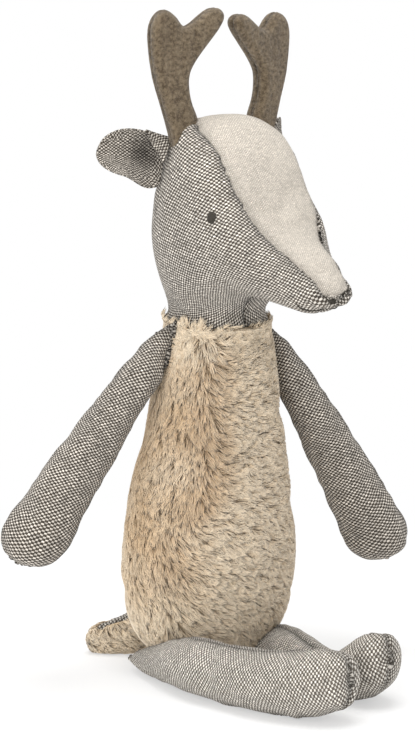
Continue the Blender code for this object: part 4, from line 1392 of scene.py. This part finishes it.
def grow_pile(skin, count, seed, brushed, length, over, lift=LIFT, draw=0.50, clear_of=(),
              only_above=-1.0):
    """Paths of fibres drawn together in locks, with the normal and the tone of each."""
    chance = np.random.default_rng(seed)
    tree = skin_tree(over)
    spots, normals, size = spread_roots(skin, count, seed)
    spots, normals = spots[spots[:, 2] > only_above], normals[spots[:, 2] > only_above]
    heads, head_normals, _ = spread_roots(skin, int(size / LOCK_AREA), seed + 1)
    wander = np.array([noise.noise(Vector(place * WANDER_DENSITY)) for place in heads])
    ruffle = np.array([noise.noise(Vector(place * RUFFLE_DENSITY + 5.0)) for place in heads])
    angles = brushed(heads) + WANDER * wander + RUFFLE * ruffle + chance.normal(0.0, LOCK_STRAY, len(heads))
    long = length * (0.85 + 0.4 * chance.random(len(heads)))
    head_paths = fibre_paths(tree, heads, head_normals, angles, long, lift)
    tones = chance.random(len(heads))
    near = point_tree(heads)
    owner = np.array([near.find(place)[1] for place in spots])
    own = angles[owner] + chance.normal(0.0, FIBRE_STRAY, len(spots))
    reach = long[owner] * (0.78 + 0.34 * chance.random(len(spots)))
    paths = fibre_paths(tree, spots, normals, own, reach, lift)
    paths += (head_paths[owner] - paths) * (draw * DRAW_SHARES)[None, :, None]
    onward = paths[:, 3] - paths[:, 0]
    sideways = np.cross(onward / (np.linalg.norm(onward, axis=1)[:, None] + 1e-9), normals)
    bend = CURL * (chance.normal(0.0, 0.5, len(heads))[owner] + chance.normal(0.0, 0.6, len(spots)))
    paths[:, 1] += sideways * bend[:, None]
    paths[:, 2] -= sideways * bend[:, None]
    tone = 0.75 * tones[owner] + 0.25 * chance.random(len(spots))
    free = np.ones(len(paths), bool)
    for other in clear_of:
        for step in (1, 2, 3):
            free &= ~inside(other, paths[:, step])
    return paths[free], normals[free], tone[free]


# %% The body's pile
COAT_LENGTH, TAIL_LENGTH = 0.0085, 0.0060


def turn_about(spots, middle):
    """Turn about the body's upright axis in degrees: 0 in front, 90 to its left."""
    return np.degrees(np.arctan2(spots[:, 0] - middle[0], middle[1] - spots[:, 1]))


TORSO_COVERS = ["torso_front_cover", "torso_back_cover"]
torso_skin = joined_skin(TORSO_COVERS)
torso_middle = (torso_skin["points"].max(0) + torso_skin["points"].min(0)) / 2
up_the_neck = joined_skin([*TORSO_COVERS, "head_left_cover", "head_right_cover"])
limbs = []
for side in ("left", "right"):
    arm_points = skins[side + "_arm_form"]["points"]
    limbs.append((skin_tree(skins[side + "_arm_form"]), arm_points.min(0), arm_points.max(0)))
coat = grow_pile(torso_skin, 60000, 11,
                 lambda spots: brushed_angle(turn_about(spots, torso_middle), spots[:, 2]),
                 COAT_LENGTH, up_the_neck, clear_of=limbs)
print("coat fibres:", len(coat[0]))

# %% [markdown]
# Where the body is sewn to the neck and to the near arm, the pile is ruffled: short loose
# fibres stand up the neck as a collar, a tuft of them stands behind the near shoulder,
# and some lap over the arm's root.

# %% Collar, tuft and lap
COLLAR_FOOT, LAP_FOOT = 0.1655, 0.147
COLLAR_LIFT = np.array((-0.0004, 0.0018, 0.0024, 0.0018))
TUFT_LIFT = np.array((-0.0004, 0.0018, 0.0022, 0.0014))
LAP_LIFT = np.array((-0.0004, 0.0018, 0.0022, 0.0012))
TUFT_TURN, TUFT_SPAN, LAP_TURN, LAP_SPAN = -82.0, 42.0, -62.0, 11.0
COLLAR_LENGTH, TUFT_LENGTH, LAP_LENGTH = 0.0044, 0.0066, 0.0070
chance = np.random.default_rng(5)


def ruffled(least, spread):
    """Locks that lie any way from the least angle on, in degrees."""
    return lambda spots: least + spread * chance.random(len(spots))


def near_turn(paths, turn, span):
    """Which fibres are rooted near a turn about the body."""
    return np.abs(turn_about(paths[:, 0], torso_middle) - turn) < span


collar = grow_pile(torso_skin, 150000, 12, ruffled(-20.0, 85.0), COLLAR_LENGTH, up_the_neck,
                   COLLAR_LIFT, 0.15, only_above=COLLAR_FOOT)
tuft = grow_pile(torso_skin, 150000, 13, ruffled(50.0, 60.0), TUFT_LENGTH, up_the_neck,
                 TUFT_LIFT, 0.15, only_above=COLLAR_FOOT - 0.002)
by_the_arm = near_turn(tuft[0], TUFT_TURN, TUFT_SPAN)
tuft = [item[by_the_arm] for item in tuft]
lap = grow_pile(torso_skin, 110000, 14, ruffled(150.0, 60.0), LAP_LENGTH,
                joined_skin([*TORSO_COVERS, "right_arm_form"]), LAP_LIFT, 0.35, only_above=LAP_FOOT)
beside = near_turn(lap[0], LAP_TURN, LAP_SPAN) & ~inside(limbs[1], lap[0][:, 0])
lap = [item[beside] for item in lap]
print("collar, tuft and lap fibres:", len(collar[0]), len(tuft[0]), len(lap[0]))

# %% Painted nap shade and the body's six pieces
PILE_LEAST, TAIL_LEAST = 0.0004, 0.0003
NAP_SHADE_ROUND, NAP_SHADE_BACK = (-6.0, 26.0), (105.0, 150.0)
NAP_SHADE_FOOT, NAP_SHADE_TOP = (0.030, 0.065), (0.150, 0.166)
paths, normals, tone = (np.concatenate(parts) for parts in zip(coat, collar, tuft, lap))
paths[:, :, 2] = np.maximum(paths[:, :, 2], PILE_LEAST)
turn = turn_about(paths[:, 0], torso_middle)
height = paths[:, 0, 2]
beyond = turn - parting(height)
# Painted shade and warmth of the pile that lies the other way: left of the parting, between the base and the
# collar, patchy by noise.
painted_nap_shade = (1.0 - smooth_step(beyond, *NAP_SHADE_ROUND)) * smooth_step(height, *NAP_SHADE_FOOT)
painted_nap_shade *= (1.0 - smooth_step(height, *NAP_SHADE_TOP)) * (1.0 - smooth_step(-turn, *NAP_SHADE_BACK))
patches = np.array([noise.noise(Vector(place * 55.0)) for place in paths[:, 0]])
painted_nap_shade = np.clip(painted_nap_shade * (0.85 + 0.7 * patches), 0.0, 1.0)
order = np.argsort(turn)
names = ["torso_back_pile_right", "torso_side_pile_right", "torso_front_pile_right",
         "torso_front_pile_left", "torso_side_pile_left", "torso_back_pile_left"]
for name, part in zip(names, np.array_split(order, len(names))):
    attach(blades(name, paths[part], normals[part], tone[part], painted_nap_shade[part]), "torso")

# %% The tail's pile
tail_paths, tail_normals, tail_tone = grow_pile(
    skins["tail_under_cover"], 4500, 23, lambda spots: np.full(len(spots), -30.0), TAIL_LENGTH,
    joined_skin(["tail_under_cover", "tail_top_cover"]))
tail_paths[:, :, 2] = np.maximum(tail_paths[:, :, 2], TAIL_LEAST)
follow(blades("tail_under_pile", tail_paths, tail_normals, tail_tone, 0.0 * tail_tone))

# %% [markdown]
# ## Eyes, nose and mouth
#
# The face is embroidered with thick dark thread. An eye is a small oval of upright satin
# stitches, the nose is a bar of stitches over the tip of the muzzle, and the mouth is one
# long stitch on each side. Each thread is a thin rounded strand that dips into the cloth
# at both ends.

# %% Thread
def thread_material(name, dark, pale):
    """Twisted cotton: fine slanting plies, read from the strand's own map."""
    material, shader = new_material(name)
    tree = material.node_tree
    place = add_node(tree, "TexCoord").outputs
    twist = add_node(tree, "TexWave", place["UV"], bands_direction="DIAGONAL")
    twist.inputs["Scale"].default_value = 6.0
    twist.inputs["Distortion"].default_value = 0.6
    fuzz = add_noise(tree, place["Object"], 4200.0, 2.0)
    share = add_math(tree, "ADD", add_math(tree, "MULTIPLY", twist.outputs["Fac"], 0.5),
                     add_math(tree, "MULTIPLY", fuzz, 0.5), clamp=True)
    tree.links.new(add_mix(tree, share, (*dark, 1.0), (*pale, 1.0)), shader.inputs["Base Color"])
    add_bump(tree, shader, twist.outputs["Fac"], 0.5, 0.0001)
    set_surface(shader, 0.7, 0.25)
    return material


thread = thread_material("thread_cotton", (0.016, 0.014, 0.011), (0.085, 0.075, 0.060))
print("thread:", thread.name)


# %% Lay strands on the face
head_tree = skin_tree(skins["head_form"])


def strand(work, layer, stops, radius):
    """One thread along a few places on the head, sunk at both ends."""
    sides, steps = 8, 12
    share = np.linspace(0.0, 1.0, steps + 1)
    place = np.array([np.interp(share, np.linspace(0, 1, len(stops)), [stop[i] for stop in stops])
                      for i in range(3)]).T
    rings = []
    for index, spot in enumerate(place):
        near, normal, _, _ = head_tree.find_nearest(Vector(spot))
        rise = radius * (1.25 * math.sin(math.pi * share[index]) ** 0.5 - 0.5)
        centre = near + normal * rise
        ahead = Vector(place[min(index + 1, steps)] - place[max(index - 1, 0)]).normalized()
        across = ahead.cross(normal).normalized()
        over = across.cross(ahead).normalized()
        ring = []
        for turn in np.linspace(0.0, 2 * math.pi, sides, endpoint=False):
            ring.append(work.verts.new(centre + (across * math.cos(turn) + over * math.sin(turn)) * radius))
        rings.append(ring)
    for index in range(steps):
        for side in range(sides):
            after = (side + 1) % sides
            face = work.faces.new((rings[index][side], rings[index][after],
                                   rings[index + 1][after], rings[index + 1][side]))
            face.smooth = True
            for loop, spot in zip(face.loops, ((index, side), (index, side + 1),
                                               (index + 1, side + 1), (index + 1, side))):
                loop[layer].uv = (spot[0] / steps, spot[1] / sides)
    work.faces.new(rings[0][::-1])
    work.faces.new(rings[-1])


def embroider(name, node_name, rows, radius):
    """A patch of strands that replaces its frame solid."""
    work = bmesh.new()
    layer = work.loops.layers.uv.new("thread")
    for stops in rows:
        strand(work, layer, stops, radius)
    bmesh.ops.recalc_face_normals(work, faces=work.faces)
    mesh = bpy.data.meshes.new(name)
    work.to_mesh(mesh)
    work.free()
    mesh.materials.append(thread)
    piece = add_object(name, mesh)
    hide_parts(node_name)
    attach(piece, "head")
    print(name, "strands", len(rows), "faces", len(mesh.polygons))


# %% Eyes
EYE_STITCHES = 10
THREAD_RADIUS = 0.00028


def node_frame(node_name):
    """A frame solid's middle, and its long, broad and thin directions with their half sizes."""
    spots = read_points(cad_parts[node_name].data)
    middle = (spots.max(0) + spots.min(0)) / 2
    _, _, ways = np.linalg.svd(spots - spots.mean(0), full_matrices=False)
    reach = np.abs((spots - middle) @ ways.T).max(0)
    return middle, ways, reach


for side in ("left", "right"):
    middle, ways, reach = node_frame(side + "_eye")
    rows = []
    for share in np.linspace(-0.86, 0.86, EYE_STITCHES):
        uneven_end = 1.02 + 0.10 * noise.noise(Vector((share * 9, 0, 4)))
        half = reach[0] * math.sqrt(1 - share * share) * uneven_end
        middle_of_row = middle + ways[1] * share * reach[1]
        rows.append([middle_of_row - ways[0] * half, middle_of_row + ways[0] * half])
    embroider(side + "_eye_stitches", side + "_eye", rows, THREAD_RADIUS)

# %% Nose and mouth
NOSE_STITCHES = 34
NOSE_HALF, NOSE_RADIUS = 0.0013, 0.00030
MOUTH_HALF = [(-0.0122, -0.0815, 0.1905), (-0.0108, -0.0826, 0.1884), (-0.0084, -0.0850, 0.1864),
              (-0.0052, -0.0880, 0.1850), (-0.0006, -0.0905, 0.1846)]


def along_line(stops, share):
    """A place along a line through a few stops."""
    knots = np.linspace(0.0, 1.0, len(stops))
    return np.array([np.interp(share, knots, [stop[i] for stop in stops]) for i in range(3)])


rows = []
for share in np.linspace(0.0, 1.0, NOSE_STITCHES):
    middle = along_line(NOSE_LINE, share)
    onward = along_line(NOSE_LINE, min(share + 0.05, 1.0)) - along_line(NOSE_LINE, max(share - 0.05, 0.0))
    _, normal, _, _ = head_tree.find_nearest(Vector(middle))
    across = np.cross(onward / np.linalg.norm(onward), np.array(normal))
    half = NOSE_HALF * float(np.interp(share, (0.0, 0.22, 0.32, 0.78, 1.0), (0.12, 0.25, 1.0, 1.0, 0.25)))
    rows.append([middle - across * half, middle + across * half])
embroider("nose_stitches", "nose_embroidery", rows, NOSE_RADIUS)

rows = []
for hand in (1.0, -1.0):
    for offset in (-0.5, 0.5):
        lift = np.array((0.0, 0.0, offset * 2 * THREAD_RADIUS))
        rows.append([np.array(stop) * (hand, 1.0, 1.0) + lift for stop in MOUTH_HALF])
embroider("mouth_stitches", "mouth_embroidery", rows, THREAD_RADIUS)
